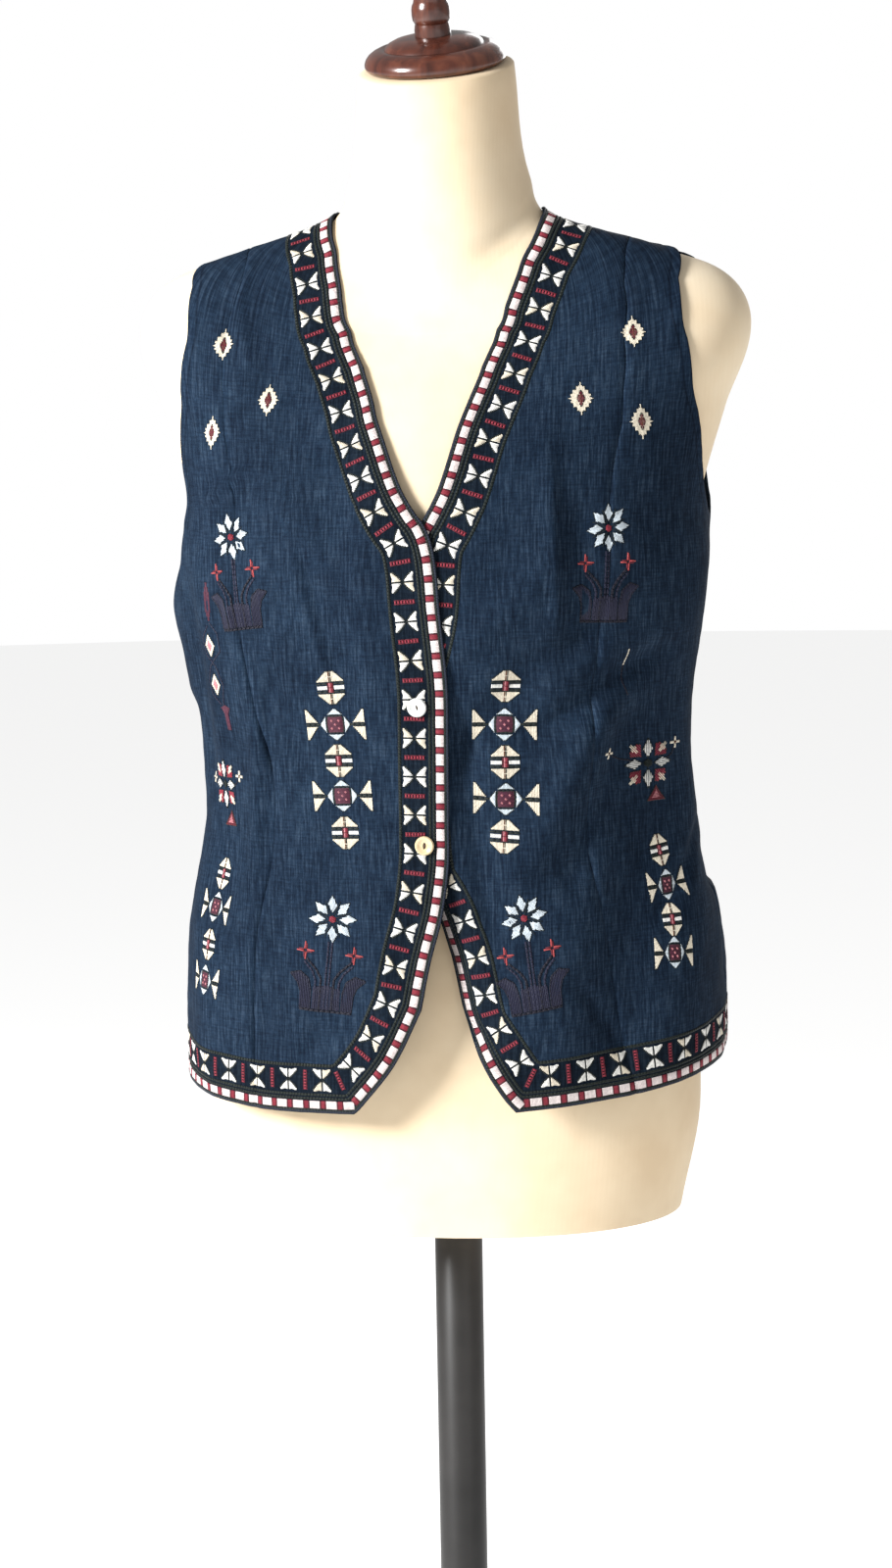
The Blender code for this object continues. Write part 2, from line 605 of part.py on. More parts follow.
def main():
    clear_scene()
    parts = new_collection("embroidered vest on a dress form")
    denim = material("denim", (0.045, 0.095, 0.180), 0.85)
    shell = material("button_shell", (0.86, 0.84, 0.78), 0.25)
    jersey = material("form_jersey", (0.83, 0.78, 0.66), 0.90)
    mahogany = material("mahogany", (0.110, 0.028, 0.016), 0.28)
    steel = material("stand_steel", (0.050, 0.048, 0.046), 0.40, 0.85)

    for side in (RIGHT, LEFT):
        for which in ("centre", "side"):
            front_object(side, which, parts, denim)
    back_object(parts, denim)

    button = [
        (0.0, 0.0016),
        (0.0022, 0.0016),
        (0.0030, 0.0022),
        (0.0052, BUTTON_THICK),
        (BUTTON_RADIUS, 0.0019),
        (BUTTON_RADIUS - 0.0003, 0.0009),
        (0.0040, 0.0),
        (0.0, 0.0),
    ]
    for name, (height, girth) in BUTTONS.items():
        place = place_at(height)
        turn = turn_at(girth, place)
        point = cloth(RIGHT, [turn], [place], laps=True)[0]
        out = normals(np.array([-turn]), np.array([place]))[0]
        seat = Vector(point) + Vector(out) * (WALL / 2 + BUTTON_GAP)
        turned_object(name, parts, button, 20, shell, seat, out)

    torso_object(parts, jersey)
    axis = cap_axis()
    neck_top = Vector(neck_ring().mean(axis=0)) + axis * (NECK_ROUNDING + REST_GAP)
    cap = [
        (0.0, CAP_HEIGHT),
        (0.0150, 0.0188),
        (0.0265, 0.0170),
        (0.0312, 0.0142),
        (0.0322, 0.0128),
        (0.0345, 0.0130),
        (0.0400, 0.0112),
        (0.0436, 0.0082),
        (0.0450, 0.0048),
        (0.0438, 0.0014),
        (0.0412, 0.0),
        (0.0, 0.0),
    ]
    turned_object("neck_cap", parts, cap, 28, mahogany, neck_top, axis)
    finial = [
        (0.0, 0.0920),
        (0.0060, 0.0905),
        (0.0125, 0.0850),
        (0.0162, 0.0750),
        (0.0158, 0.0620),
        (0.0125, 0.0480),
        (0.0112, 0.0360),
        (0.0104, 0.0230),
        (0.0109, 0.0195),
        (0.0122, 0.0165),
        (0.0120, 0.0095),
        (0.0108, 0.0070),
        (0.0115, 0.0),
        (0.0, 0.0),
    ]
    on_cap = neck_top + axis * (CAP_HEIGHT + REST_GAP)
    turned_object("finial", parts, finial, 20, mahogany, on_cap, axis)

    foot = LEVELS[0].front
    pole_foot = BASE_THICK + REST_GAP
    pole_top = foot - REST_GAP - pole_foot
    pole = [(0.0, pole_top), (POLE_RADIUS, pole_top), (POLE_RADIUS, 0.0), (0.0, 0.0)]
    turned_object("stand_pole", parts, pole, 24, steel, (0, 0, pole_foot))
    base = [
        (0.0, BASE_THICK),
        (0.1900, BASE_THICK),
        (0.2030, 0.0185),
        (BASE_RADIUS, 0.0110),
        (BASE_RADIUS, 0.0),
        (0.0, 0.0),
    ]
    turned_object("stand_base", parts, base, 64, mahogany)


main()
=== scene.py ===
"""Embroidered denim vest on a limbless dress form.

Blender 4.5, metres, +Z up. The front looks along -Y, and the wearer's left is +X.
"""

import math
from collections import namedtuple

import bpy
import numpy as np
from mathutils import Matrix, Vector


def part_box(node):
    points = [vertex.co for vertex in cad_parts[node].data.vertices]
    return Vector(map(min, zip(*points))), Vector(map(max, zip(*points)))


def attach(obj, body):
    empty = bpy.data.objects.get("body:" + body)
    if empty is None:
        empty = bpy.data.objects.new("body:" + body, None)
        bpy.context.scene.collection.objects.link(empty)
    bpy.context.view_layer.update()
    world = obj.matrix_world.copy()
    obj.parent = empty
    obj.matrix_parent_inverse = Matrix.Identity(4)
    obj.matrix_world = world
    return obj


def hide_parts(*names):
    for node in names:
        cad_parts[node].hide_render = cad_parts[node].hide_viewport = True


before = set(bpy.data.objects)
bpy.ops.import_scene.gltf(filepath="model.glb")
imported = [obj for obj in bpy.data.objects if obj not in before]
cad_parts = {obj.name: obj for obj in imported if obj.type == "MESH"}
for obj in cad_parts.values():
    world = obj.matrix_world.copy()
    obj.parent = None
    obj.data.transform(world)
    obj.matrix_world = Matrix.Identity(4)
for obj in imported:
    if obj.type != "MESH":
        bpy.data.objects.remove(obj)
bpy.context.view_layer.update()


# Round foot of the stand.
# A turned disc of dark stained wood with a rounded top edge, weighted inside so that the form
# can't tip. The pole stands in its middle.
BASE_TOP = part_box("stand_base")[1][2]
BASE_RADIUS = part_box("stand_base")[1][0]
BASE_PROFILE = [
    (0.0, BASE_TOP),
    (0.170, BASE_TOP),
    (0.186, BASE_TOP - 0.0004),
    (0.197, BASE_TOP - 0.0026),
    (0.2045, BASE_TOP - 0.0064),
    (0.2088, BASE_TOP - 0.0112),
    (BASE_RADIUS, BASE_TOP - 0.0160),
    (0.2090, 0.0012),
    (0.2072, 0.0),
    (0.0, 0.0),
]


def deselect_all():
    for other in bpy.context.selected_objects:
        other.select_set(False)


def select_only(piece):
    deselect_all()
    piece.select_set(True)
    bpy.context.view_layer.objects.active = piece


def turned_piece(name, profile, steps, smooth_angle=40.0):
    """Turns a piece on the lathe: the profile is (radius, height), and it starts and ends on the axis."""
    deselect_all()
    start_radius, start_height = profile[1]
    bpy.ops.mesh.primitive_circle_add(
        vertices=steps, radius=start_radius, fill_type="NGON", location=(0, 0, start_height)
    )
    piece = bpy.context.active_object
    piece.name = name
    bpy.ops.object.transform_apply(location=True, rotation=True, scale=True)
    bpy.ops.object.mode_set(mode="EDIT")
    bpy.ops.mesh.select_all(action="SELECT")
    for (radius, height), (next_radius, next_height) in zip(profile[1:-2], profile[2:-1]):
        bpy.ops.mesh.extrude_region_move(TRANSFORM_OT_translate={"value": (0, 0, next_height - height)})
        grow = next_radius / radius
        bpy.ops.transform.resize(value=(grow, grow, 1.0), center_override=(0, 0, next_height))
    bpy.ops.mesh.select_all(action="SELECT")
    bpy.ops.mesh.normals_make_consistent(inside=False)
    bpy.ops.object.mode_set(mode="OBJECT")
    select_only(piece)
    bpy.ops.object.shade_smooth_by_angle(angle=math.radians(smooth_angle))
    return piece


def new_material(name, colour, roughness, metallic=0.0):
    """A material that is ready for its pattern, with its nodes, links and shader."""
    made = bpy.data.materials.new(name)
    made.use_nodes = True
    made.diffuse_color = (*colour, 1.0)
    nodes, links = made.node_tree.nodes, made.node_tree.links
    shader = nodes["Principled BSDF"]
    shader.inputs["Base Color"].default_value = (*colour, 1.0)
    shader.inputs["Roughness"].default_value = roughness
    shader.inputs["Metallic"].default_value = metallic
    return made, nodes, links, shader


def adjust(node, values):
    """Sets a node's inputs by their names."""
    for name, value in values.items():
        node.inputs[name].default_value = value


def ramp_colour(nodes, links, factor, stops):
    """The colour that a ramp of (position, colour) pairs makes of a factor."""
    node = nodes.new("ShaderNodeValToRGB")
    band = node.color_ramp
    while len(band.elements) < len(stops):
        band.elements.new(0.5)
    for element, (position, colour) in zip(band.elements, stops):
        element.position = position
        element.color = (*colour, 1.0)
    links.new(factor, node.inputs["Fac"])
    return node.outputs["Color"]


def noise(nodes, links, where, scale, detail=3.0, roughness=0.55, distortion=0.0):
    node = nodes.new("ShaderNodeTexNoise")
    adjust(node, {"Scale": scale, "Detail": detail, "Roughness": roughness, "Distortion": distortion})
    links.new(where, node.inputs["Vector"])
    return node.outputs["Fac"]


def bands(nodes, links, where, direction, scale, distortion, detail):
    """Parallel ribs or strands."""
    node = nodes.new("ShaderNodeTexWave")
    node.wave_type = "BANDS"
    node.bands_direction = direction
    adjust(node, {"Scale": scale, "Distortion": distortion, "Detail": detail})
    links.new(where, node.inputs["Vector"])
    return node.outputs["Fac"]


def multiplied(nodes, links, colour, shade, share=1.0):
    """A colour multiplied by a shade."""
    mix = nodes.new("ShaderNodeMix")
    mix.data_type = "RGBA"
    mix.blend_type = "MULTIPLY"
    mix.inputs["Factor"].default_value = share
    links.new(colour, mix.inputs["A"])
    links.new(shade, mix.inputs["B"])
    return mix.outputs["Result"]


def add_bump(nodes, links, shader, height, strength, distance):
    """Fine relief on a surface."""
    bump = nodes.new("ShaderNodeBump")
    adjust(bump, {"Strength": strength, "Distance": distance})
    links.new(height, bump.inputs["Height"])
    links.new(bump.outputs["Normal"], shader.inputs["Normal"])


def stretched(nodes, links, where, scale):
    """The same coordinates, scaled differently along each axis."""
    node = nodes.new("ShaderNodeMapping")
    node.inputs["Scale"].default_value = scale
    links.new(where, node.inputs["Vector"])
    return node.outputs["Vector"]


WOOD_GRAIN = [(0.28, (0.032, 0.009, 0.006)), (0.5, (0.085, 0.023, 0.013)), (0.74, (0.165, 0.052, 0.027))]
mahogany, nodes, links, shader = new_material("varnished_mahogany", (0.10, 0.028, 0.016), 0.26)
where = nodes.new("ShaderNodeTexCoord").outputs["Object"]
grain = noise(nodes, links, stretched(nodes, links, where, (34.0, 34.0, 5.0)), 2.2, 6.0, 0.6, 0.7)
links.new(ramp_colour(nodes, links, grain, WOOD_GRAIN), shader.inputs["Base Color"])
pores = noise(nodes, links, stretched(nodes, links, where, (900.0, 900.0, 120.0)), 1.0, 2.0)
add_bump(nodes, links, shader, pores, 0.05, 0.0002)
adjust(shader, {"Coat Weight": 0.45, "Coat Roughness": 0.12})

foot_disc = turned_piece("foot_disc", BASE_PROFILE, 160)
foot_disc.data.materials.append(mahogany)
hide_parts("stand_base")
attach(foot_disc, "root")


# Pole of the stand.
# Steel tube, satin black enamel, that runs from the foot up into the form. A turned collar
# stands on the foot round its lower end.
POLE_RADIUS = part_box("stand_pole")[1][0]
POLE_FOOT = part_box("stand_pole")[0][2]
POLE_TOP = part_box("stand_pole")[1][2]
POLE_PROFILE = [
    (0.0, POLE_TOP),
    (POLE_RADIUS - 0.0006, POLE_TOP),
    (POLE_RADIUS, POLE_TOP - 0.0008),
    (POLE_RADIUS, POLE_FOOT + 0.0300),
    (POLE_RADIUS, POLE_FOOT),
    (0.0, POLE_FOOT),
]
COLLAR_PROFILE = [
    (0.0, POLE_FOOT + 0.026),
    (POLE_RADIUS + 0.0004, POLE_FOOT + 0.026),
    (POLE_RADIUS + 0.0032, POLE_FOOT + 0.0250),
    (POLE_RADIUS + 0.0040, POLE_FOOT + 0.0225),
    (POLE_RADIUS + 0.0040, POLE_FOOT + 0.0110),
    (POLE_RADIUS + 0.0075, POLE_FOOT + 0.0070),
    (POLE_RADIUS + 0.0140, POLE_FOOT + 0.0030),
    (POLE_RADIUS + 0.0160, POLE_FOOT + 0.0001),
    (0.0, POLE_FOOT + 0.0001),
]

ENAMEL_WEAR = [(0.35, (0.016, 0.0155, 0.015)), (0.7, (0.034, 0.032, 0.031))]
enamel, nodes, links, shader = new_material("satin_black_enamel", (0.022, 0.021, 0.020), 0.38)
where = nodes.new("ShaderNodeTexCoord").outputs["Object"]
worn = noise(nodes, links, where, 14.0, 4.0)
links.new(ramp_colour(nodes, links, worn, ENAMEL_WEAR), shader.inputs["Base Color"])
add_bump(nodes, links, shader, noise(nodes, links, where, 420.0, 2.0), 0.06, 0.0003)

pole = turned_piece("pole", POLE_PROFILE, 64)
collar = turned_piece("pole_collar", COLLAR_PROFILE, 72)
for piece in (pole, collar):
    piece.data.materials.append(enamel)
    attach(piece, "root")
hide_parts("stand_pole")


# Torso of the dress form.
# A firm moulded torso with no arms, with an ivory cotton jersey cover stretched over it. Its
# levels give the figure's shape, and the vest hangs from the same levels with its own ease.
Level = namedtuple(
    "Level",
    "name front side back form_width form_front form_back ease_width ease_front ease_back square",
)
LEVELS = [
    Level("foot", 0.745, 0.745, 0.745, 0.150, 0.092, 0.125, 0.030, 0.032, 0.022, 0.96),
    Level("hem", 0.820, 0.820, 0.820, 0.163, 0.096, 0.128, 0.0135, 0.0245, 0.0105, 0.95),
    Level("high hip", 0.930, 0.930, 0.930, 0.155, 0.093, 0.112, 0.0195, 0.0245, 0.0135, 0.94),
    Level("waist", 1.015, 1.015, 1.015, 0.126, 0.088, 0.088, 0.0335, 0.0265, 0.0185, 0.93),
    Level("under bust", 1.090, 1.090, 1.090, 0.140, 0.108, 0.092, 0.0235, 0.0125, 0.0145, 0.90),
    Level("bust", 1.165, 1.165, 1.165, 0.158, 0.121, 0.102, 0.0165, 0.0055, 0.0085, 0.88),
    Level("armpit", 1.215, 1.215, 1.220, 0.165, 0.116, 0.107, 0.0045, 0.0035, 0.0045, 0.88),
    Level("chest", 1.258, 1.270, 1.275, 0.181, 0.100, 0.106, 0.0, 0.0, 0.0, 0.88),
    Level("shoulder point", 1.295, 1.322, 1.325, 0.1975, 0.080, 0.097, 0.0, 0.0, 0.0, 0.90),
    Level("shoulder top", 1.316, 1.3580, 1.3570, 0.174, 0.066, 0.083, 0.0, 0.0, 0.0, 0.94),
    Level("mid shoulder", 1.330, 1.3745, 1.3725, 0.122, 0.058, 0.067, 0.0, 0.0, 0.0, 0.97),
    Level("neck root", 1.346, 1.393, 1.391, 0.067, 0.053, 0.056, 0.0, 0.0, 0.0, 1.00),
    Level("neck", 1.374, 1.414, 1.420, 0.0585, 0.051, 0.052, 0.0, 0.0, 0.0, 1.00),
    Level("neck top", 1.468, 1.4835, 1.499, 0.0495, 0.0485, 0.0485, 0.0, 0.0, 0.0, 1.00),
]
LEAN = 0.012
LEAN_FROM, LEAN_FULL = 9, 13
NECK_ROOT, NECK_TOP = 11, 13
NECK_TILT_SIDE = math.radians(2.0)
NECK_ROUNDING = 0.0022
NECK_CLOSING = ((0.985, 0.45), (0.955, 0.8), (0.91, 0.97), (0.80, 1.0), (0.4, 1.0), (0.02, 1.0))
FOOT_CLOSING = (0.02, 0.5, 0.97)
FORM_SIDES = 132
MERGE_DISTANCE = 0.0001


def slope(values, knots, k):
    """Slope of a curve at knot k that never overshoots its neighbours."""
    before = (values[k] - values[k - 1]) / (knots[k] - knots[k - 1])
    after = (values[k + 1] - values[k]) / (knots[k + 1] - knots[k])
    if before * after <= 0:
        return 0.0
    low, high = knots[k] - knots[k - 1], knots[k + 1] - knots[k]
    mean = (before * high + after * low) / (low + high)
    return math.copysign(min(abs(mean), 3 * abs(before), 3 * abs(after)), mean)


def hermite(knots, values, slopes, k, f):
    step = knots[k + 1] - knots[k]
    return (
        (2 * f**3 - 3 * f**2 + 1) * values[k]
        + (f**3 - 2 * f**2 + f) * step * slopes[k]
        + (3 * f**2 - 2 * f**3) * values[k + 1]
        + (f**3 - f**2) * step * slopes[k + 1]
    )


LEVEL_HEIGHTS = np.array([level.front for level in LEVELS])
LEVEL_CURVES = {}
for name in Level._fields[1:]:
    values = np.array([getattr(level, name) for level in LEVELS])
    last = len(values) - 1
    slopes = [(values[1] - values[0]) / (LEVEL_HEIGHTS[1] - LEVEL_HEIGHTS[0])]
    slopes += [slope(values, LEVEL_HEIGHTS, k) for k in range(1, last)]
    slopes += [(values[last] - values[last - 1]) / (LEVEL_HEIGHTS[last] - LEVEL_HEIGHTS[last - 1])]
    LEVEL_CURVES[name] = (values, np.array(slopes))


def column(name, place):
    """A column of LEVELS as a smooth curve. Place counts rows, and 2.5 is midway from row 2 to row 3."""
    values, slopes = LEVEL_CURVES[name]
    place = np.clip(np.asarray(place, float), 0, len(values) - 1 - 1e-9)
    k = np.floor(place).astype(int)
    return hermite(LEVEL_HEIGHTS, values, slopes, k, place - k)


def figure(turn, place, ease):
    """Points of the form at ease 0 and of the vest at 1. Turn is in degrees from the centre front to +X."""
    angle = np.radians(turn)
    across, along = np.sin(angle), np.cos(angle)
    width = column("form_width", place) + ease * column("ease_width", place)
    front = column("form_front", place) + ease * column("ease_front", place)
    back = column("form_back", place) + ease * column("ease_back", place)
    square = column("square", place)
    x = width * np.sign(across) * np.abs(across) ** square
    y = np.where(along >= 0, -front, back) * np.abs(along) ** square
    y = y - LEAN * np.clip((place - LEAN_FROM) / (LEAN_FULL - LEAN_FROM), 0, 1)
    side = column("side", place)
    end = np.where(along >= 0, column("front", place), column("back", place))
    tilt = np.clip((place - NECK_ROOT) / 2, 0, 1) * math.tan(NECK_TILT_SIDE)
    flatten = np.clip(place - NECK_ROOT, 0, 1)
    z = side + (end - side) * np.abs(along) ** (2 - flatten) + tilt * x
    return np.stack(np.broadcast_arrays(x, y, z), -1)


def grid_mesh(name, points, around=False):
    """A mesh through a grid of points. Around joins its last column to its first."""
    rows, columns = points.shape[:2]
    number = np.arange(rows * columns).reshape(rows, columns)
    if around:
        number = np.concatenate([number, number[:, :1]], axis=1)
    low_left, low_right = number[:-1, :-1], number[:-1, 1:]
    high_left, high_right = number[1:, :-1], number[1:, 1:]
    faces = np.stack([low_left, low_right, high_right, high_left], -1).reshape(-1, 4)
    mesh = bpy.data.meshes.new(name)
    mesh.from_pydata(points.reshape(-1, 3).tolist(), [], faces.tolist())
    return mesh


def add_object(name, mesh):
    piece = bpy.data.objects.new(name, mesh)
    bpy.context.scene.collection.objects.link(piece)
    return piece


ring_places = np.concatenate([np.arange(0, 7, 0.125), np.arange(7, 12, 0.0625), np.arange(12, 13.01, 0.125)])
ring_turns = np.arange(FORM_SIDES) * 360.0 / FORM_SIDES
ring_turns = np.where(ring_turns > 180, ring_turns - 360, ring_turns)
turns, places = np.meshgrid(ring_turns, np.clip(ring_places, 0, NECK_TOP))
rings = figure(turns, places, 0.0)
neck_ring = figure(np.array([0.0, 90.0, 180.0, -90.0]), np.full(4, float(NECK_TOP)), 0.0)
neck_axis = Vector(np.cross(neck_ring[1] - neck_ring[3], neck_ring[2] - neck_ring[0])).normalized()
neck_middle = rings[-1].mean(axis=0)
foot_middle = rings[0].mean(axis=0)
neck_up = np.array(neck_axis)
closing = []
for inset, rise in NECK_CLOSING:
    closing.append(neck_middle + (rings[-1] - neck_middle) * inset + NECK_ROUNDING * rise * neck_up)
foot_closing = [foot_middle + (rings[0] - foot_middle) * inset for inset in FOOT_CLOSING]
form_points = np.concatenate([np.array(foot_closing), rings, np.array(closing)])
dress_form = add_object("dress_form", grid_mesh("form", form_points, around=True))
select_only(dress_form)
bpy.ops.object.mode_set(mode="EDIT")
bpy.ops.mesh.select_all(action="SELECT")
bpy.ops.mesh.remove_doubles(threshold=MERGE_DISTANCE)
bpy.ops.mesh.select_all(action="DESELECT")
bpy.ops.mesh.select_non_manifold()
bpy.ops.mesh.fill()
bpy.ops.mesh.select_all(action="SELECT")
bpy.ops.mesh.normals_make_consistent(inside=False)
bpy.ops.object.mode_set(mode="OBJECT")
bpy.ops.object.shade_smooth_by_angle(angle=math.radians(50))

JERSEY_TONES = [(0.3, (0.76, 0.59, 0.39)), (0.52, (0.85, 0.69, 0.48)), (0.75, (0.89, 0.77, 0.58))]
jersey, nodes, links, shader = new_material("ivory_jersey", (0.80, 0.73, 0.60), 0.88)
where = nodes.new("ShaderNodeTexCoord").outputs["Object"]
soiling = noise(nodes, links, where, 9.0, 4.0, 0.6)
links.new(ramp_colour(nodes, links, soiling, JERSEY_TONES), shader.inputs["Base Color"])
add_bump(nodes, links, shader, bands(nodes, links, where, "X", 420.0, 1.2, 2.0), 0.12, 0.0004)
adjust(shader, {"Specular IOR Level": 0.2, "Sheen Weight": 0.1, "Sheen Roughness": 0.5})
dress_form.data.materials.append(jersey)
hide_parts("form_torso")
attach(dress_form, "root")


# Neck cap and finial.
# Both are turned from one dark hardwood and varnished. The cap is a rimmed disc that closes the
# neck, and the finial stands on it on a beaded post.
CAP_HEIGHT = 0.0190
CAP_GAP = 0.0003
CAP_PROFILE = [
    (0.0, CAP_HEIGHT),
    (0.0125, CAP_HEIGHT),
    (0.0190, CAP_HEIGHT - 0.0005),
    (0.0250, CAP_HEIGHT - 0.0018),
    (0.0290, CAP_HEIGHT - 0.0036),
    (0.0308, CAP_HEIGHT - 0.0052),
    (0.0316, CAP_HEIGHT - 0.0066),
    (0.0322, CAP_HEIGHT - 0.0066),
    (0.0334, CAP_HEIGHT - 0.0060),
    (0.0362, CAP_HEIGHT - 0.0066),
    (0.0395, CAP_HEIGHT - 0.0080),
    (0.0421, CAP_HEIGHT - 0.0098),
    (0.0438, CAP_HEIGHT - 0.0118),
    (0.0447, CAP_HEIGHT - 0.0140),
    (0.0449, CAP_HEIGHT - 0.0156),
    (0.0444, CAP_HEIGHT - 0.0174),
    (0.0432, CAP_HEIGHT - 0.0186),
    (0.0412, 0.0),
    (0.0, 0.0),
]
FINIAL_PROFILE = [
    (0.0, 0.0920),
    (0.0030, 0.0918),
    (0.0062, 0.0904),
    (0.0100, 0.0878),
    (0.0132, 0.0838),
    (0.0154, 0.0786),
    (0.0162, 0.0728),
    (0.0160, 0.0660),
    (0.0150, 0.0590),
    (0.0136, 0.0520),
    (0.0124, 0.0450),
    (0.0115, 0.0380),
    (0.0109, 0.0310),
    (0.0105, 0.0250),
    (0.0104, 0.0222),
    (0.0108, 0.0205),
    (0.0117, 0.0190),
    (0.0122, 0.0166),
    (0.0123, 0.0130),
    (0.0120, 0.0100),
    (0.0111, 0.0084),
    (0.0107, 0.0076),
    (0.0110, 0.0064),
    (0.0114, 0.0040),
    (0.0115, 0.0001),
    (0.0, 0.0001),
]
neck_top = Vector(neck_ring.mean(axis=0)) + neck_axis * (NECK_ROUNDING + CAP_GAP)
on_neck = Matrix.Translation(neck_top) @ neck_axis.to_track_quat("Z", "Y").to_matrix().to_4x4()
on_cap = Matrix.Translation(neck_axis * CAP_HEIGHT) @ on_neck
for name, profile, seat, node in (
    ("turned_cap", CAP_PROFILE, on_neck, "neck_cap"),
    ("turned_finial", FINIAL_PROFILE, on_cap, "finial"),
):
    piece = turned_piece(name, profile, 96)
    piece.data.transform(seat)
    piece.data.materials.append(mahogany)
    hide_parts(node)
    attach(piece, "root")


# The vest's five panels.
# Slubbed cotton denim, cut as two fronts of two panels each and a whole back. The tables give
# each cut edge, and the folds are where the cloth pulls, sinks or hangs free.
WALL = 0.0012
STAND_OFF = 0.0015
NECK_LIFT = 0.0006
NECK_LIFT_FROM, NECK_LIFT_FULL = 10.4, 11.0
LAP_LIFT = 0.0024
LAP_FULL = 0.030
LAP_GONE = 0.052
RIGHT, LEFT = -1, 1
HANG_TILT = 0.007
HANG_FROM, HANG_FULL = 1.000, 0.840
CURL_DEPTH = 0.019
CURL_WIDTH = 0.030
CURL_TOP, CURL_FOOT = 1.015, 0.850
CURL_FADE = 0.040
ROWS = 32

Cut = namedtuple("Cut", "name row height turn")
FRONT_EDGE = {
    RIGHT: [
        Cut("hem corner", 0, 0.8343, 15.0),
        Cut("low on the slant", 1.3, 0.8415, 12.6),
        Cut("high on the slant", 2.8, 0.8680, 5.9),
        Cut("edge corner", 4, 0.9003, 1.2),
        Cut("loose edge", 6, 0.9350, -0.7),
        Cut("below the buttons", 8, 0.965, -2.9),
        Cut("lower button", 10, 1.004, -4.2),
        Cut("upper button", 14, 1.090, -4.2),
        Cut("top of the lap", 17, 1.150, -2.8),
        Cut("neckline crossing", 19, 1.192, -1.5),
        Cut("lower neckline", 21, 1.222, 2.7),
        Cut("middle neckline", 23, 1.257, 6.3),
        Cut("upper neckline", 26, 1.291, 9.1),
        Cut("below the slope", 27, 1.3065, 12.1),
        Cut("neckline at the slope", 28, 1.3200, 17.7),
        Cut("collar bone", 29, 1.3325, 29.5),
        Cut("front of the neck", 30, 1.3400, 48.0),
        Cut("beside the neck", 31, 1.3430, 64.0),
        Cut("neck point", ROWS, 1.3490, 90.0),
    ],
    LEFT: [
        Cut("hem corner", 0, 0.8325, 16.2),
        Cut("low on the slant", 1.3, 0.8450, 13.0),
        Cut("high on the slant", 2.8, 0.8700, 8.6),
        Cut("edge corner", 4, 0.8992, 5.6),
        Cut("rolled edge", 6, 0.9330, 3.4),
        Cut("below the buttons", 8, 0.965, 0.3),
        Cut("lower button", 10, 1.004, -5.0),
        Cut("upper button", 14, 1.090, -6.0),
        Cut("top of the lap", 17, 1.150, -1.8),
        Cut("neckline crossing", 19, 1.192, -0.8),
        Cut("lower neckline", 21, 1.222, 2.5),
        Cut("middle neckline", 23, 1.257, 4.9),
        Cut("upper neckline", 26, 1.291, 7.9),
        Cut("below the slope", 27, 1.3060, 10.2),
        Cut("neckline at the slope", 28, 1.3190, 14.4),
        Cut("collar bone", 29, 1.3310, 23.6),
        Cut("front of the neck", 30, 1.3390, 40.0),
        Cut("beside the neck", 31, 1.3425, 58.0),
        Cut("neck point", ROWS, 1.3490, 90.0),
    ],
}
FRONT_SEAM = {
    RIGHT: [
        Cut("hem", 0, 0.8345, 40.0),
        Cut("high hip", 6, 0.938, 39.6),
        Cut("waist", 11, 1.034, 37.3),
        Cut("under bust", 14, 1.092, 40.0),
        Cut("bust", 17, 1.150, 40.5),
        Cut("armpit level", 20, 1.203, 42.0),
        Cut("chest", 23, 1.250, 43.3),
        Cut("upper chest", 25, 1.275, 40.6),
        Cut("below the slope", 27, 1.2955, 39.3),
        Cut("slope", 28, 1.3035, 40.2),
        Cut("over the slope", 29, 1.3130, 43.5),
        Cut("under the shoulder", 30, 1.3215, 51.5),
        Cut("near the shoulder", 31, 1.3275, 67.5),
        Cut("shoulder", ROWS, 1.3300, 90.0),
    ],
    LEFT: [
        Cut("hem", 0, 0.8350, 44.5),
        Cut("high hip", 6, 0.940, 37.8),
        Cut("waist", 11, 1.035, 35.8),
        Cut("under bust", 14, 1.092, 36.1),
        Cut("bust", 17, 1.150, 36.6),
        Cut("armpit level", 20, 1.205, 39.0),
        Cut("chest", 23, 1.252, 39.2),
        Cut("upper chest", 25, 1.277, 36.6),
        Cut("below the slope", 27, 1.2975, 35.8),
        Cut("slope", 28, 1.3065, 37.6),
        Cut("over the slope", 29, 1.3150, 42.4),
        Cut("under the shoulder", 30, 1.3220, 50.5),
        Cut("near the shoulder", 31, 1.3282, 68.0),
        Cut("shoulder", ROWS, 1.3308, 90.0),
    ],
}
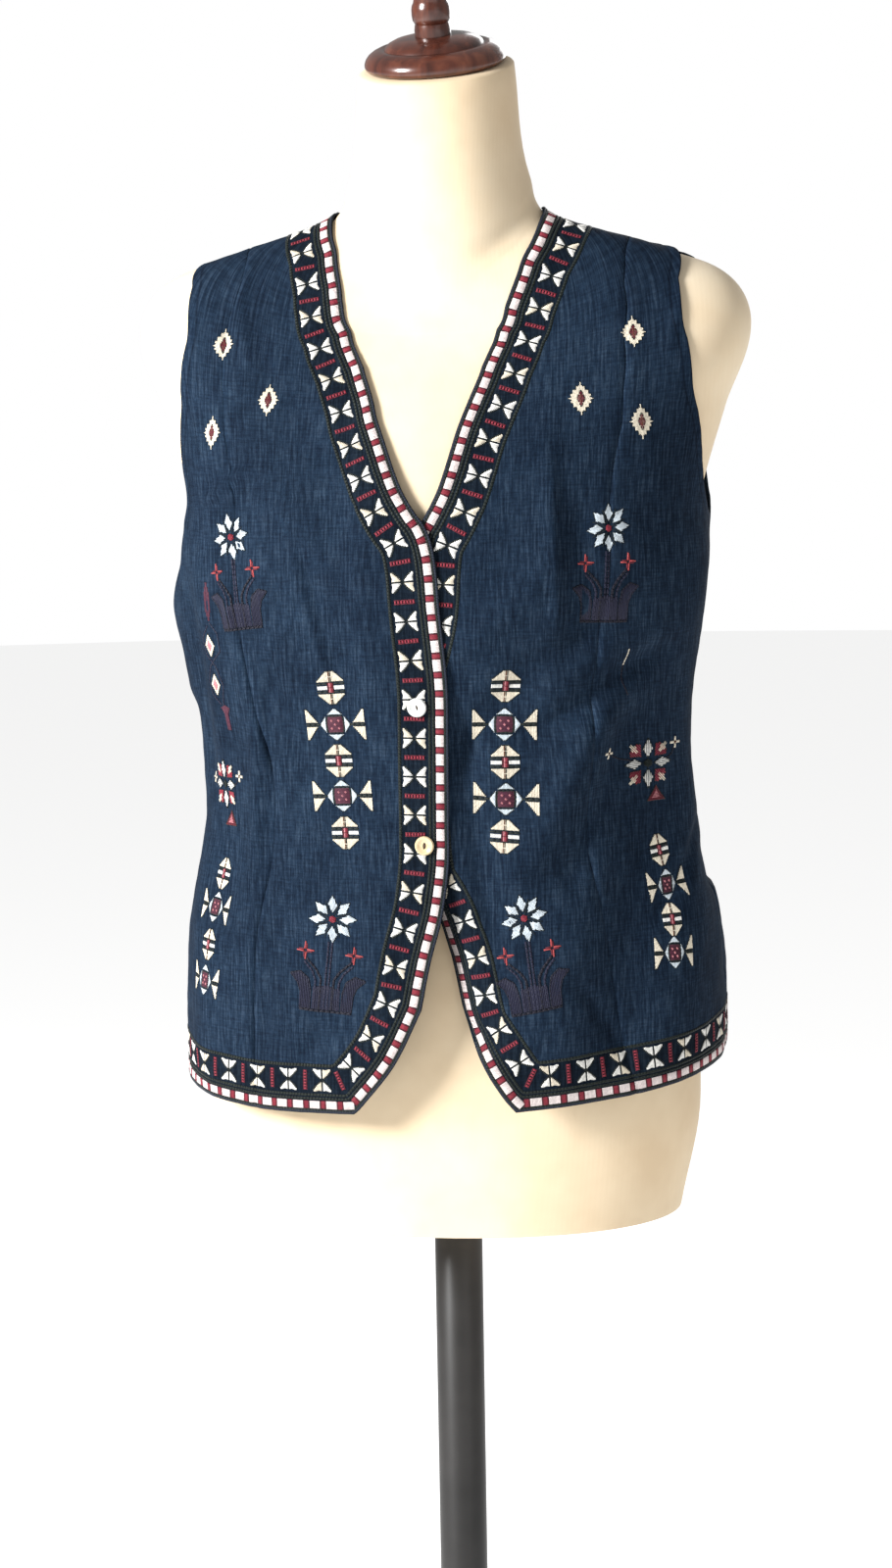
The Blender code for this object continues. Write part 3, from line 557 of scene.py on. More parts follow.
FRONT_SIDE = {
    RIGHT: [
        Cut("hem", 0, 0.8445, 90.0),
        Cut("high hip", 6, 0.940, 90.0),
        Cut("waist", 11, 1.025, 90.0),
        Cut("bust", 16, 1.115, 90.0),
        Cut("armpit", 20, 1.188, 90.0),
        Cut("armhole foot", 21, 1.1975, 78.0),
        Cut("armhole low", 22, 1.2110, 70.0),
        Cut("armhole curve", 24, 1.2400, 66.5),
        Cut("armhole middle", 26, 1.2700, 56.6),
        Cut("armhole high", 28, 1.2980, 50.5),
        Cut("armhole by the shoulder", 30, 1.3150, 61.5),
        Cut("shoulder tip", ROWS, 1.3228, 90.0),
    ],
    LEFT: [
        Cut("hem", 0, 0.8430, 90.0),
        Cut("high hip", 6, 0.946, 90.0),
        Cut("waist", 11, 1.032, 90.0),
        Cut("bust", 16, 1.127, 90.0),
        Cut("armpit", 20, 1.201, 90.0),
        Cut("armhole foot", 21, 1.2085, 83.0),
        Cut("armhole low", 22, 1.2200, 77.5),
        Cut("armhole curve", 24, 1.2470, 68.0),
        Cut("armhole middle", 26, 1.2745, 56.0),
        Cut("armhole high", 28, 1.3000, 51.0),
        Cut("armhole by the shoulder", 30, 1.3160, 60.5),
        Cut("shoulder tip", ROWS, 1.3243, 90.0),
    ],
}
BACK_ARMHOLE = [
    Cut("armhole foot", 22, 1.2190, 102.0),
    Cut("armhole low", 24, 1.2440, 113.0),
    Cut("armhole middle", 26, 1.2720, 120.0),
    Cut("armhole high", 28, 1.2980, 121.0),
    Cut("armhole by the shoulder", 30, 1.3145, 110.0),
]
ARMPIT_ROW = 4
EDGE_CORNER_ROW = 3
BACK_NECK_HEIGHT = 1.3400
BACK_NECK_SHARE = 0.42
BACK_DIP_FROM = 0.55
BACK_HEM_HEIGHT = 0.849

Fold = namedtuple("Fold", "name side top_height top_girth foot_height foot_girth width depth")
FOLDS = [
    Fold("bust ridge", LEFT, 1.240, 0.074, 1.060, 0.082, 0.016, 0.0035),
    Fold("pull above the button", LEFT, 1.150, 0.110, 1.060, 0.020, 0.020, -0.0055),
    Fold("hip trough", LEFT, 1.110, 0.150, 0.870, 0.118, 0.024, -0.0060),
    Fold("hip ridge", LEFT, 1.080, 0.105, 0.880, 0.078, 0.022, 0.0040),
    Fold("side ridge", LEFT, 1.060, 0.190, 0.880, 0.168, 0.022, 0.0045),
    Fold("right armhole pinch", RIGHT, 1.225, 0.240, 1.172, 0.240, 0.030, -0.0085),
    Fold("right side bulge", RIGHT, 1.160, 0.230, 1.090, 0.216, 0.026, 0.0045),
    Fold("left side tuck", LEFT, 1.190, 0.262, 1.035, 0.255, 0.050, -0.0105),
    Fold("left hip tuck", LEFT, 0.990, 0.262, 0.960, 0.262, 0.040, -0.0050),
    Fold("side trough", RIGHT, 1.175, 0.180, 1.040, 0.176, 0.014, -0.0045),
    Fold("waist trough", RIGHT, 1.080, 0.140, 0.960, 0.146, 0.018, -0.0035),
    Fold("flank ridge", RIGHT, 1.000, 0.170, 0.850, 0.160, 0.022, 0.0040),
    Fold("right back trough", RIGHT, 1.120, 0.330, 0.850, 0.345, 0.026, -0.0055),
    Fold("left back trough", LEFT, 1.100, 0.345, 0.850, 0.325, 0.028, -0.0050),
    Fold("right back ridge", RIGHT, 1.060, 0.395, 0.850, 0.405, 0.024, 0.0040),
    Fold("left back ridge", LEFT, 1.070, 0.285, 0.850, 0.270, 0.024, 0.0040),
    Fold("pull to the closure", LEFT, 1.182, 0.084, 1.128, 0.030, 0.017, 0.0038),
    Fold("bust crease", LEFT, 1.244, 0.0770, 1.140, 0.0835, 0.0048, 0.0024),
    Fold("beside the bust crease", LEFT, 1.215, 0.0970, 1.132, 0.0950, 0.011, -0.0036),
    Fold("deep diagonal", LEFT, 1.124, 0.154, 1.070, 0.066, 0.020, -0.0062),
    Fold("long diagonal", LEFT, 1.100, 0.118, 0.985, 0.056, 0.016, 0.0060),
    Fold("under the long diagonal", LEFT, 1.082, 0.132, 0.982, 0.090, 0.013, -0.0052),
    Fold("hollow by the closure", LEFT, 1.095, 0.018, 0.920, 0.044, 0.010, -0.0048),
    Fold("shoulder crease", LEFT, 1.330, 0.180, 1.298, 0.152, 0.006, 0.0015),
    Fold("hip crease", LEFT, 0.916, 0.090, 0.862, 0.127, 0.0065, -0.0026),
    Fold("low side crease", LEFT, 1.005, 0.196, 0.950, 0.150, 0.009, -0.0028),
    Fold("flank crease", LEFT, 1.060, 0.158, 0.985, 0.128, 0.008, 0.0022),
    Fold("armhole pucker", RIGHT, 1.243, 0.110, 1.224, 0.146, 0.0080, -0.0008),
    Fold("pucker's lip", RIGHT, 1.236, 0.108, 1.216, 0.146, 0.0075, 0.0030),
    Fold("shoulder crease", RIGHT, 1.331, 0.135, 1.296, 0.116, 0.006, 0.0015),
    Fold("chest crease", RIGHT, 1.2200, 0.098, 1.2105, 0.026, 0.020, -0.0012),
    Fold("bust crease", RIGHT, 1.192, 0.0765, 1.116, 0.0560, 0.0050, -0.0020),
    Fold("bust lip", RIGHT, 1.190, 0.0830, 1.116, 0.0630, 0.0050, 0.0014),
    Fold("waist crease", RIGHT, 1.118, 0.104, 1.060, 0.082, 0.008, -0.0020),
    Fold("seam trough", RIGHT, 1.105, 0.1030, 0.985, 0.1110, 0.0058, -0.0036),
    Fold("seam roll", RIGHT, 1.095, 0.1130, 0.985, 0.1210, 0.0060, 0.0022),
    Fold("flank light", RIGHT, 1.165, 0.128, 1.095, 0.121, 0.007, 0.0022),
    Fold("low crease", RIGHT, 0.960, 0.100, 0.880, 0.112, 0.008, -0.0020),
    Fold("hem crease", RIGHT, 0.905, 0.060, 0.862, 0.086, 0.008, -0.0014),
]
FOLD_START, FOLD_FULL = -0.15, 0.25
FOLD_END, FOLD_FALL = 1.25, 0.35
SEAM_SINK, SEAM_WIDTH = 0.0011, 0.0024
HAND_RELIEF = 0.00045

TURN_GRID = np.linspace(0, 180, 361)
PLACE_GRID = np.linspace(0, len(LEVELS) - 1, 261)
HEIGHT_GRID = column("front", PLACE_GRID)
turns, places = np.meshgrid(TURN_GRID, PLACE_GRID)
steps = np.linalg.norm(np.diff(figure(turns, places, 1.0), axis=1), axis=2)
GIRTHS = np.concatenate([np.zeros((len(PLACE_GRID), 1)), np.cumsum(steps, axis=1)], axis=1)
GIRTH_GRID = np.linspace(0, 0.62, 621)
TURNS = np.stack([np.interp(GIRTH_GRID, row, TURN_GRID) for row in GIRTHS])


def sampled(table, rows, columns):
    """A table read between its rows and columns."""
    rows = np.clip(rows, 0, table.shape[0] - 1.001)
    columns = np.clip(columns, 0, table.shape[1] - 1.001)
    r, c = rows.astype(int), columns.astype(int)
    fr, fc = rows - r, columns - c
    low = table[r, c] * (1 - fc) + table[r, c + 1] * fc
    high = table[r + 1, c] * (1 - fc) + table[r + 1, c + 1] * fc
    return low * (1 - fr) + high * fr


def place_at(height):
    return np.interp(height, HEIGHT_GRID, PLACE_GRID)


def girth_at(turn, place):
    """Distance round the vest from the centre front."""
    turn, place = np.broadcast_arrays(np.asarray(turn, float), np.asarray(place, float))
    return np.sign(turn) * sampled(GIRTHS, place / PLACE_GRID[1], np.abs(turn) / TURN_GRID[1])


def turn_at(girth, place):
    girth, place = np.broadcast_arrays(np.asarray(girth, float), np.asarray(place, float))
    return np.sign(girth) * sampled(TURNS, place / PLACE_GRID[1], np.abs(girth) / GIRTH_GRID[1])


def normals(turn, place):
    """Outward unit normals of the vest's surface."""
    small_turn, small_place = 0.2, 0.02
    round_it = figure(turn + small_turn, place, 1.0) - figure(turn - small_turn, place, 1.0)
    up_it = figure(turn, place + small_place, 1.0) - figure(turn, place - small_place, 1.0)
    out = np.cross(round_it, up_it)
    return out / np.linalg.norm(out, axis=-1, keepdims=True)


def ramp(value, low, high):
    """Smooth step from 0 at low to 1 at high."""
    f = np.clip((value - low) / (high - low), 0, 1)
    return f * f * (3 - 2 * f)


def fold_relief(side, girth, height):
    """How far the folds lift the cloth of one side, or sink it where the number is below zero."""
    relief = np.zeros_like(girth)
    for fold in FOLDS:
        if fold.side != side:
            continue
        along = (fold.top_height - height) / (fold.top_height - fold.foot_height)
        middle = fold.top_girth + (fold.foot_girth - fold.top_girth) * np.clip(along, 0, 1)
        across = np.exp(-(((girth - middle) / fold.width) ** 2))
        fade = ramp(along, FOLD_START, FOLD_FULL) * ramp(FOLD_END - along, 0.0, FOLD_FALL)
        relief += fold.depth * across * fade
    return relief


def hand_relief(girth, height):
    """The small unevenness of washed cloth."""
    slow = np.sin(95 * girth + 2.0 * np.sin(31 * height)) * np.sin(57 * height + 1.6 * np.sin(44 * girth))
    quick = np.sin(210 * girth + 3.1 * np.sin(83 * height + 1.0))
    quick = quick * np.sin(160 * height + 2.2 * np.sin(120 * girth))
    return HAND_RELIEF * (slow + 0.45 * quick)


def seam_girth(side, height):
    """How far round the front's long seam lies at a height."""
    places, turns = SEAM_LINES[side]
    return np.interp(height, column("front", places), girth_at(turns, places))


def edge_girth(height):
    """How far round the left front's loose edge lies at a height."""
    rows = [cut for cut in FRONT_EDGE[LEFT] if cut.height < 1.2]
    turn = np.interp(height, [cut.height for cut in rows], [cut.turn for cut in rows])
    return girth_at(turn, place_at(height))


def cloth(side, turn, place, lift=0.0):
    """Points of the vest's middle surface. Side is the sign of x, and turn is counted on that side."""
    turn, place = np.broadcast_arrays(np.asarray(turn, float), np.asarray(place, float))
    height = column("front", place)
    girth = girth_at(turn, place)
    out = STAND_OFF + lift + fold_relief(side, girth, height) + hand_relief(side * girth, height)
    for seam in (seam_girth(side, height), girth_at(90.0, place)):
        out = out - SEAM_SINK * np.exp(-(((girth - seam) / SEAM_WIDTH) ** 2))
    out = out + NECK_LIFT * ramp(place, NECK_LIFT_FROM, NECK_LIFT_FULL)
    if side == RIGHT:
        out = out + LAP_LIFT * ramp(-girth, -LAP_GONE, -LAP_FULL)
    else:
        curl = np.clip(1 - (girth - edge_girth(height)) / CURL_WIDTH, 0, 1) ** 2
        band = ramp(height, CURL_FOOT, CURL_FOOT + CURL_FADE) * ramp(-height, -CURL_TOP, CURL_FADE - CURL_TOP)
        out = out - CURL_DEPTH * curl * band
    points = figure(side * turn, place, 1.0) + normals(side * turn, place) * out[..., None]
    hang = ramp(-height, -HANG_FROM, -HANG_FULL)
    points[..., 2] += HANG_TILT * hang * points[..., 0] / LEVELS[1].form_width
    return points


def smooth(knots, values, wanted):
    """Smooth curve through the knots that doesn't overshoot them."""
    slopes = [slope(values, knots, k) for k in range(1, len(knots) - 1)]
    start = 1.5 * (values[1] - values[0]) / (knots[1] - knots[0]) - 0.5 * slopes[0]
    end = 1.5 * (values[-1] - values[-2]) / (knots[-1] - knots[-2]) - 0.5 * slopes[-1]
    slopes = np.array([start, *slopes, end])
    k = np.clip(np.searchsorted(knots, wanted, side="right") - 1, 0, len(knots) - 2)
    return hermite(knots, values, slopes, k, (wanted - knots[k]) / (knots[k + 1] - knots[k]))


def edge_curve(rows, share, corners=()):
    """Places and turns along a cut edge. Corners are sharp."""
    shares = np.array([cut.row for cut in rows]) / ROWS
    places = np.array([place_at(cut.height) for cut in rows])
    turns = np.array([cut.turn for cut in rows])
    ends = [0, *corners, len(rows) - 1]
    found = np.zeros((2, len(share)))
    for first, last in zip(ends[:-1], ends[1:]):
        inside = (share >= shares[first] - 1e-9) & (share <= shares[last] + 1e-9)
        for which, values in enumerate((places, turns)):
            found[which, inside] = smooth(shares[first : last + 1], values[first : last + 1], share[inside])
    return found


SEAM_LINES = {side: edge_curve(FRONT_SEAM[side], np.linspace(0, 1, 160)) for side in (RIGHT, LEFT)}


def front_panel(side, which, shares, across):
    """Places and turns of a front panel's grid, from its inner edge at across 0 to its outer edge at 1."""
    edge = edge_curve(FRONT_EDGE[side], shares, corners=(EDGE_CORNER_ROW,))
    outer = edge_curve(FRONT_SIDE[side], shares, corners=(ARMPIT_ROW,))
    seam = edge_curve(FRONT_SEAM[side], shares)
    inner, far = (edge, seam) if which == "centre" else (seam, outer)
    return inner[:, :, None] * (1 - across) + far[:, :, None] * across


def back_side(side):
    """Cuts of the back's side edge: the side seam, then the armhole."""
    return FRONT_SIDE[side][: ARMPIT_ROW + 1] + BACK_ARMHOLE + FRONT_SIDE[side][-1:]


def back_panel(side, shares, across):
    """Places and turns of one half of the back, from the centre back at across 0 to its side at 1."""
    outer = edge_curve(back_side(side), shares, corners=(ARMPIT_ROW,))
    middle_heights = BACK_HEM_HEIGHT + (BACK_NECK_HEIGHT - BACK_HEM_HEIGHT) * shares
    middle = np.stack([place_at(middle_heights), np.full_like(shares, 180.0)])
    grid = middle[:, :, None] * (1 - across) + outer[:, :, None] * across
    neck_place = place_at(FRONT_EDGE[side][-1].height)
    start, end = middle[:, -1], outer[:, -1]
    to_neck = np.clip(across / BACK_NECK_SHARE, 0, 1)
    past_neck = np.clip((across - BACK_NECK_SHARE) / (1 - BACK_NECK_SHARE), 0, 1)
    dip = np.sin(np.radians(90 * to_neck)) ** 2
    top_place = start[0] + (neck_place - start[0]) * dip + (end[0] - neck_place) * past_neck
    straight = start[:, None] * (1 - across) + end[:, None] * across
    away = np.stack([top_place, 180.0 - 90.0 * to_neck]) - straight
    return grid + away[:, None, :] * (ramp(shares, BACK_DIP_FROM, 1.0) * shares**2)[None, :, None]


def add_uv(mesh, name, across_m, along_m):
    """A uv map in metres, from one pair of numbers for each point."""
    layer = mesh.uv_layers.new(name=name)
    corners = np.zeros(len(mesh.loops), dtype=np.int32)
    mesh.loops.foreach_get("vertex_index", corners)
    pairs = np.stack([across_m.ravel()[corners], along_m.ravel()[corners]], -1)
    layer.data.foreach_set("uv", pairs.ravel().astype(np.float32))


denim, nodes, links, shader = new_material("slubbed_denim", (0.021, 0.034, 0.056), 0.84)
thread_map = nodes.new("ShaderNodeUVMap")
thread_map.uv_map = "cloth"
weave_at = thread_map.outputs["UV"]


def distance_share(nodes, links, name, low, high):
    """A distance stored on the panels, as a share of the way from low to high."""
    stored = nodes.new("ShaderNodeAttribute")
    stored.attribute_name = name
    share = nodes.new("ShaderNodeMapRange")
    adjust(share, {"From Min": low, "From Max": high})
    links.new(stored.outputs["Fac"], share.inputs["Value"])
    return share.outputs["Result"]


PLAIN = (1.0, 1.0, 1.0)
WARP_DYES = [
    (0.38, (0.0105, 0.0235, 0.0475)),
    (0.50, (0.0185, 0.0395, 0.0745)),
    (0.64, (0.0430, 0.0735, 0.1190)),
]
# Painted shadow: the denim is darkest in a thin line on every seam, which stands in for the shade in the
# seam's groove. Just beside it a faded rim is lighter, and the cloth further off is a little darker.
SEAM_SHADOW_AND_FADE = [
    (0.0, (0.28, 0.30, 0.34)),
    (0.10, (0.45, 0.46, 0.50)),
    (0.22, PLAIN),
    (1.0, (0.86, 0.86, 0.86)),
]
ARMHOLE_SHADES = [
    (0.0, (0.40, 0.42, 0.46)),
    (0.16, (0.90, 0.90, 0.92)),
    (0.50, PLAIN),
    (0.62, (0.45, 0.46, 0.50)),
    (0.76, (0.90, 0.90, 0.90)),
]
warp, weft, cloud, speckle = (
    noise(nodes, links, stretched(nodes, links, weave_at, (across, along, 1.0)), 1.0, detail, roughness)
    for across, along, detail, roughness in (
        (760.0, 52.0, 4.0, 0.65),
        (74.0, 820.0, 4.0, 0.65),
        (24.0, 15.0, 5.0, 0.62),
        (620.0, 420.0, 3.0, 0.7),
    )
)
dyed_cloth = ramp_colour(nodes, links, warp, WARP_DYES)
for factor, stops in (
    (weft, [(0.38, (0.62, 0.64, 0.67)), (0.62, PLAIN)]),
    (cloud, [(0.38, (0.64, 0.68, 0.72)), (0.60, PLAIN)]),
    (speckle, [(0.36, (0.70, 0.70, 0.72)), (0.62, PLAIN)]),
    # painted shadow in the seams' grooves, with a lighter faded rim beside it
    (distance_share(nodes, links, "from_seam", 0.0, 0.004), SEAM_SHADOW_AND_FADE),
    (distance_share(nodes, links, "from_armhole", 0.0, 0.010), ARMHOLE_SHADES),
    (distance_share(nodes, links, "from_border", -0.001, 0.002), [(0.30, (0.50, 0.47, 0.44)), (0.45, PLAIN)]),
):
    dyed_cloth = multiplied(nodes, links, dyed_cloth, ramp_colour(nodes, links, factor, stops))
links.new(dyed_cloth, shader.inputs["Base Color"])
add_bump(nodes, links, shader, speckle, 0.35, 0.0004)
adjust(shader, {"Specular IOR Level": 0.07, "Sheen Weight": 0.0, "Sheen Roughness": 0.4})

panels = []


def finish_panel(name, node, points, girth, height):
    """One cut panel: its sheet gets the denim's thickness, its weave coordinates and its finish."""
    mesh = grid_mesh(name, points)
    add_uv(mesh, "cloth", girth, height)
    mesh.shade_smooth()
    panel = add_object(name, mesh)
    panel.data.materials.append(denim)
    wall = panel.modifiers.new("thickness", "SOLIDIFY")
    wall.thickness = WALL
    wall.offset = 0.0
    select_only(panel)
    bpy.ops.object.modifier_apply(modifier="thickness")
    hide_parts(node)
    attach(panel, "root")
    panels.append(panel)
    return panel


AT_ONCE = 2000


def nearest(points, line):
    """For each point, its distance to a line of points and the number of the nearest one."""
    found, which = np.zeros(len(points)), np.zeros(len(points), dtype=int)
    for first in range(0, len(points), AT_ONCE):
        some = points[first : first + AT_ONCE]
        gaps = ((some[:, None, :] - line[None]) ** 2).sum(-1)
        which[first : first + AT_ONCE] = gaps.argmin(axis=1)
        found[first : first + AT_ONCE] = np.sqrt(gaps.min(axis=1))
    return found, which


def store(panel, name, values):
    layer = panel.data.attributes.new(name, "FLOAT", "POINT")
    layer.data.foreach_set("value", values.astype(np.float32))


def corners_of(panel):
    points = np.zeros(len(panel.data.vertices) * 3)
    panel.data.vertices.foreach_get("co", points)
    return points.reshape(-1, 3)


EDGE_CORNER_SHARE, ARMPIT_SHARE = 4 / ROWS, 20 / ROWS
PANEL_ROWS, BACK_COLUMNS = 210, 81
FRONT_SHEETS = (("centre", 48, (0.130, 0.600)), ("side", 36, (0.115, 0.560)))
SIDE_WORDS = ((RIGHT, "right"), (LEFT, "left"))
even_shares = np.linspace(0, 1, PANEL_ROWS)
panel_shares = np.unique(np.concatenate([even_shares, [EDGE_CORNER_SHARE, ARMPIT_SHARE]]))
for side, word in SIDE_WORDS:
    for which, columns, flat in FRONT_SHEETS:
        places, turns = front_panel(side, which, panel_shares, np.linspace(0, 1, columns + 1))
        points = cloth(side, turns, places)
        girth, height = girth_at(turns, places), column("front", places)
        if side == RIGHT:
            points, girth, height = points[:, ::-1], -girth[:, ::-1], height[:, ::-1]
        name = word + "_front_" + which
        finish_panel(name + "_cloth", name, points, girth, height)

halves = {}
for side in (LEFT, RIGHT):
    places, turns = back_panel(side, panel_shares, np.linspace(0, 1, BACK_COLUMNS))
    halves[side] = (cloth(side, turns, places), side * girth_at(turns, places), column("front", places))
left_points, left_girth, left_height = halves[LEFT]
right_points, right_girth, right_height = halves[RIGHT]
middle_points = (left_points[:, :1] + right_points[:, :1]) / 2
back_points = np.concatenate([left_points[:, :0:-1], middle_points, right_points[:, 1:]], axis=1)
round_back = left_girth[:, :1] - right_girth[:, :1]
back_girth = np.concatenate([left_girth[:, ::-1], right_girth[:, 1:] + round_back], axis=1)
back_height = np.concatenate([left_height[:, ::-1], right_height[:, 1:]], axis=1)
finish_panel("back_cloth", "back_panel", back_points, back_girth, back_height)

LINE_POINTS = 300
SHOULDER_TIP_HEIGHT, NECK_POINT_HEIGHT = 1.3232, 1.3490
shoulder_places = np.linspace(place_at(SHOULDER_TIP_HEIGHT), place_at(NECK_POINT_HEIGHT), 80)
upper_shares = np.linspace(ARMPIT_SHARE, 1, 200)
seam_lines, armhole_lines = {}, {}
for side in (RIGHT, LEFT):
    low_side = edge_curve(FRONT_SIDE[side], np.linspace(0, ARMPIT_SHARE, LINE_POINTS), (ARMPIT_ROW,))
    shoulder = np.stack([shoulder_places, np.full(len(shoulder_places), 90.0)])
    places, turns = np.concatenate([SEAM_LINES[side], low_side, shoulder], axis=1)
    seam_lines[side] = cloth(side, turns, places)
    front_hole = edge_curve(FRONT_SIDE[side], upper_shares, (ARMPIT_ROW,))
    back_hole = edge_curve(back_side(side), upper_shares, (ARMPIT_ROW,))
    places, turns = np.concatenate([front_hole, back_hole], axis=1)
    armhole_lines[side] = cloth(side, turns, places)


def lines_by(panel, lines):
    """The lines of the side that a panel is on, or of both sides for the back."""
    sides = [side for side, word in SIDE_WORDS if word in panel.name] or [RIGHT, LEFT]
    return np.concatenate([lines[side] for side in sides])


for panel in panels:
    points = corners_of(panel)
    store(panel, "from_seam", nearest(points, lines_by(panel, seam_lines))[0])
    store(panel, "from_armhole", nearest(points, lines_by(panel, armhole_lines))[0])


# Embroidered border.
# Cotton thread worked by hand along every open edge: a dark edging line, a row of white and red
# blocks, chain lines, and a wide row of butterflies with red bars between them.
MM = 0.001
THREADS = {
    "white": (0.80, 0.79, 0.75),
    "ice": (0.60, 0.67, 0.72),
    "blush": (0.78, 0.69, 0.67),
    "cream": (0.74, 0.67, 0.54),
    "rose": (0.52, 0.20, 0.22),
    "red": (0.260, 0.026, 0.044),
    "maroon": (0.110, 0.010, 0.020),
    "brown": (0.120, 0.045, 0.022),
    "coral": (0.38, 0.060, 0.060),
    "plum": (0.075, 0.016, 0.034),
    "navy": (0.0120, 0.0130, 0.0340),
    "midnight": (0.0045, 0.0045, 0.0140),
    "indigo": (0.014, 0.020, 0.036),
    "bottle": (0.006, 0.011, 0.009),
}
THREAD_NAMES = list(THREADS)
SHADE_SPREAD = 0.10
STITCH_RISE = 0.00038
STITCH_LIFT = 0.00006
TUCK = 0.18
PILLOW_TOP = 0.26
SHORTEST_STITCH, OVERLAP = 0.3, 1.04
LONGEST_LOOP, PARALLEL = 90, 1e-15
MARCH_STEP = 0.0016
BORDER_STEP = 0.0010
PATH_POINTS = 400
needle = np.random.default_rng(11)


def unit(vectors):
    return vectors / np.linalg.norm(vectors, axis=-1, keepdims=True)


def on_cloth(side, girth, height, lift=0.0):
    """Points over the outer face of one side of the vest."""
    place = place_at(height)
    return cloth(side, turn_at(girth, place), place, WALL / 2 + lift)


def cloth_frame(side, girth, height):
    """How a point on the cloth moves for each metre of girth and of height, and the outward normal."""
    small = 0.0015
    round_it = on_cloth(side, girth + small, height) - on_cloth(side, girth - small, height)
    up_it = on_cloth(side, girth, height + small) - on_cloth(side, girth, height - small)
    return round_it / (2 * small), up_it / (2 * small), side * unit(np.cross(round_it, up_it))


def cloth_steps(round_it, up_it, wanted):
    """The steps in girth and height that move a point by the wanted vector along the cloth."""
    a, b, c = (round_it**2).sum(-1), (round_it * up_it).sum(-1), (up_it**2).sum(-1)
    p, q = (round_it * wanted).sum(-1), (up_it * wanted).sum(-1)
    return np.stack([p * c - q * b, q * a - p * b], -1) / (a * c - b * b)[..., None]


class Needlework:
    """Stitches on the way to becoming one piece. A stitch runs from start to end, in girth and height."""

    def __init__(self):
        self.rows = {RIGHT: [], LEFT: []}

    def add(self, side, start, end, width, threads, rise=1.0):
        start, end = np.asarray(start, float), np.asarray(end, float)
        count = len(start)
        numbers = [THREAD_NAMES.index(threads)] * count if isinstance(threads, str) else threads
        columns = [start, end, np.full(count, 1.0)[:, None] * np.reshape(width, (-1, 1))]
        columns += [np.reshape(numbers, (-1, 1)), np.full((count, 1), rise)]
        self.rows[side].append(np.concatenate(columns, axis=1))

    def sew(self, name):
        """The piece: each stitch is a small closed pillow of thread, tucked in at its ends."""
        corners, shades, tints, lengths = [], [], [], []
        for side, rows in self.rows.items():
            if not rows:
                continue
            rows = np.concatenate(rows)
            start, end, middle = rows[:, 0:2], rows[:, 2:4], (rows[:, 0:2] + rows[:, 2:4]) / 2
            out = cloth_frame(side, middle[:, 0], middle[:, 1])[2]
            low = on_cloth(side, start[:, 0], start[:, 1], STITCH_LIFT)
            high = on_cloth(side, end[:, 0], end[:, 1], STITCH_LIFT)
            along = unit(high - low)
            across = np.cross(out, along) * rows[:, 4:5]
            tuck = along * np.minimum(rows[:, 4:5] * 0.5, np.linalg.norm(high - low, axis=1)[:, None] * TUCK)
            top = out * STITCH_RISE * rows[:, 6:7]
            corners.append(
                np.stack(
                    [
                        low - across * 0.5,
                        low + across * 0.5,
                        high + across * 0.5,
                        high - across * 0.5,
                        low - across * PILLOW_TOP + top + tuck,
                        low + across * PILLOW_TOP + top + tuck,
                        high + across * PILLOW_TOP + top - tuck,
                        high - across * PILLOW_TOP + top - tuck,
                    ],
                    axis=1,
                )
            )
            tints.append(np.array([THREADS[THREAD_NAMES[int(n)]] for n in rows[:, 5]]))
            shades.append(1 + SHADE_SPREAD * needle.uniform(-1, 1, len(rows)))
            lengths.append(np.stack([rows[:, 4], np.linalg.norm(high - low, axis=1)], -1))
        corners, tints = np.concatenate(corners), np.concatenate(tints)
        shades, lengths = np.concatenate(shades), np.concatenate(lengths)
        first = np.arange(len(corners))[:, None, None] * 8
        pillow = [(3, 2, 1, 0), (4, 5, 6, 7), (0, 1, 5, 4), (1, 2, 6, 5), (2, 3, 7, 6), (3, 0, 4, 7)]
        faces = (first + np.array(pillow)[None]).reshape(-1, 4)
        mesh = bpy.data.meshes.new(name)
        mesh.from_pydata(corners.reshape(-1, 3).tolist(), [], faces.tolist())
        colour = mesh.attributes.new("thread_colour", "FLOAT_COLOR", "POINT")
        values = np.ones((len(corners), 8, 4), np.float32)
        values[..., :3] = (tints * shades[:, None])[:, None, :]
        colour.data.foreach_set("color", values.ravel())
        near, far = PILLOW_TOP, 1 - PILLOW_TOP
        across_m = np.array([0, 1, 1, 0, near, far, far, near]) * lengths[:, :1]
        along_m = np.array([0, 0, 1, 1, TUCK, TUCK, 1 - TUCK, 1 - TUCK]) * lengths[:, 1:]
        offset = needle.uniform(0, 0.5, (len(corners), 1))
        add_uv(mesh, "thread", across_m + offset, along_m)
        mesh.shade_smooth()
        piece = add_object(name, mesh)
        piece.data.materials.append(cotton)
        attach(piece, "root")
        return piece


cotton, nodes, links, shader = new_material("stranded_cotton", (0.60, 0.55, 0.48), 0.55)
dyed = nodes.new("ShaderNodeAttribute")
dyed.attribute_name = "thread_colour"
strand_map = nodes.new("ShaderNodeUVMap")
strand_map.uv_map = "thread"
strand_at = stretched(nodes, links, strand_map.outputs["UV"], (1.0, 0.35, 1.0))
strands = bands(nodes, links, strand_at, "DIAGONAL", 900.0, 1.5, 1.0)
# Painted shade: the thread is darker in the valleys between its twisted strands.
strand_shade = ramp_colour(nodes, links, strands, [(0.15, (0.70, 0.70, 0.72)), (0.6, PLAIN)])
shaded = multiplied(nodes, links, dyed.outputs["Color"], strand_shade, 0.6)
links.new(shaded, shader.inputs["Base Color"])
add_bump(nodes, links, shader, strands, 0.35, 0.0001)
adjust(shader, {"Specular IOR Level": 0.25, "Sheen Weight": 0.04})


def turning(degrees):
    """A turn in the plane, for points that stand before it in a product."""
    lean = math.radians(degrees)
    return np.array([[math.cos(lean), math.sin(lean)], [-math.sin(lean), math.cos(lean)]])


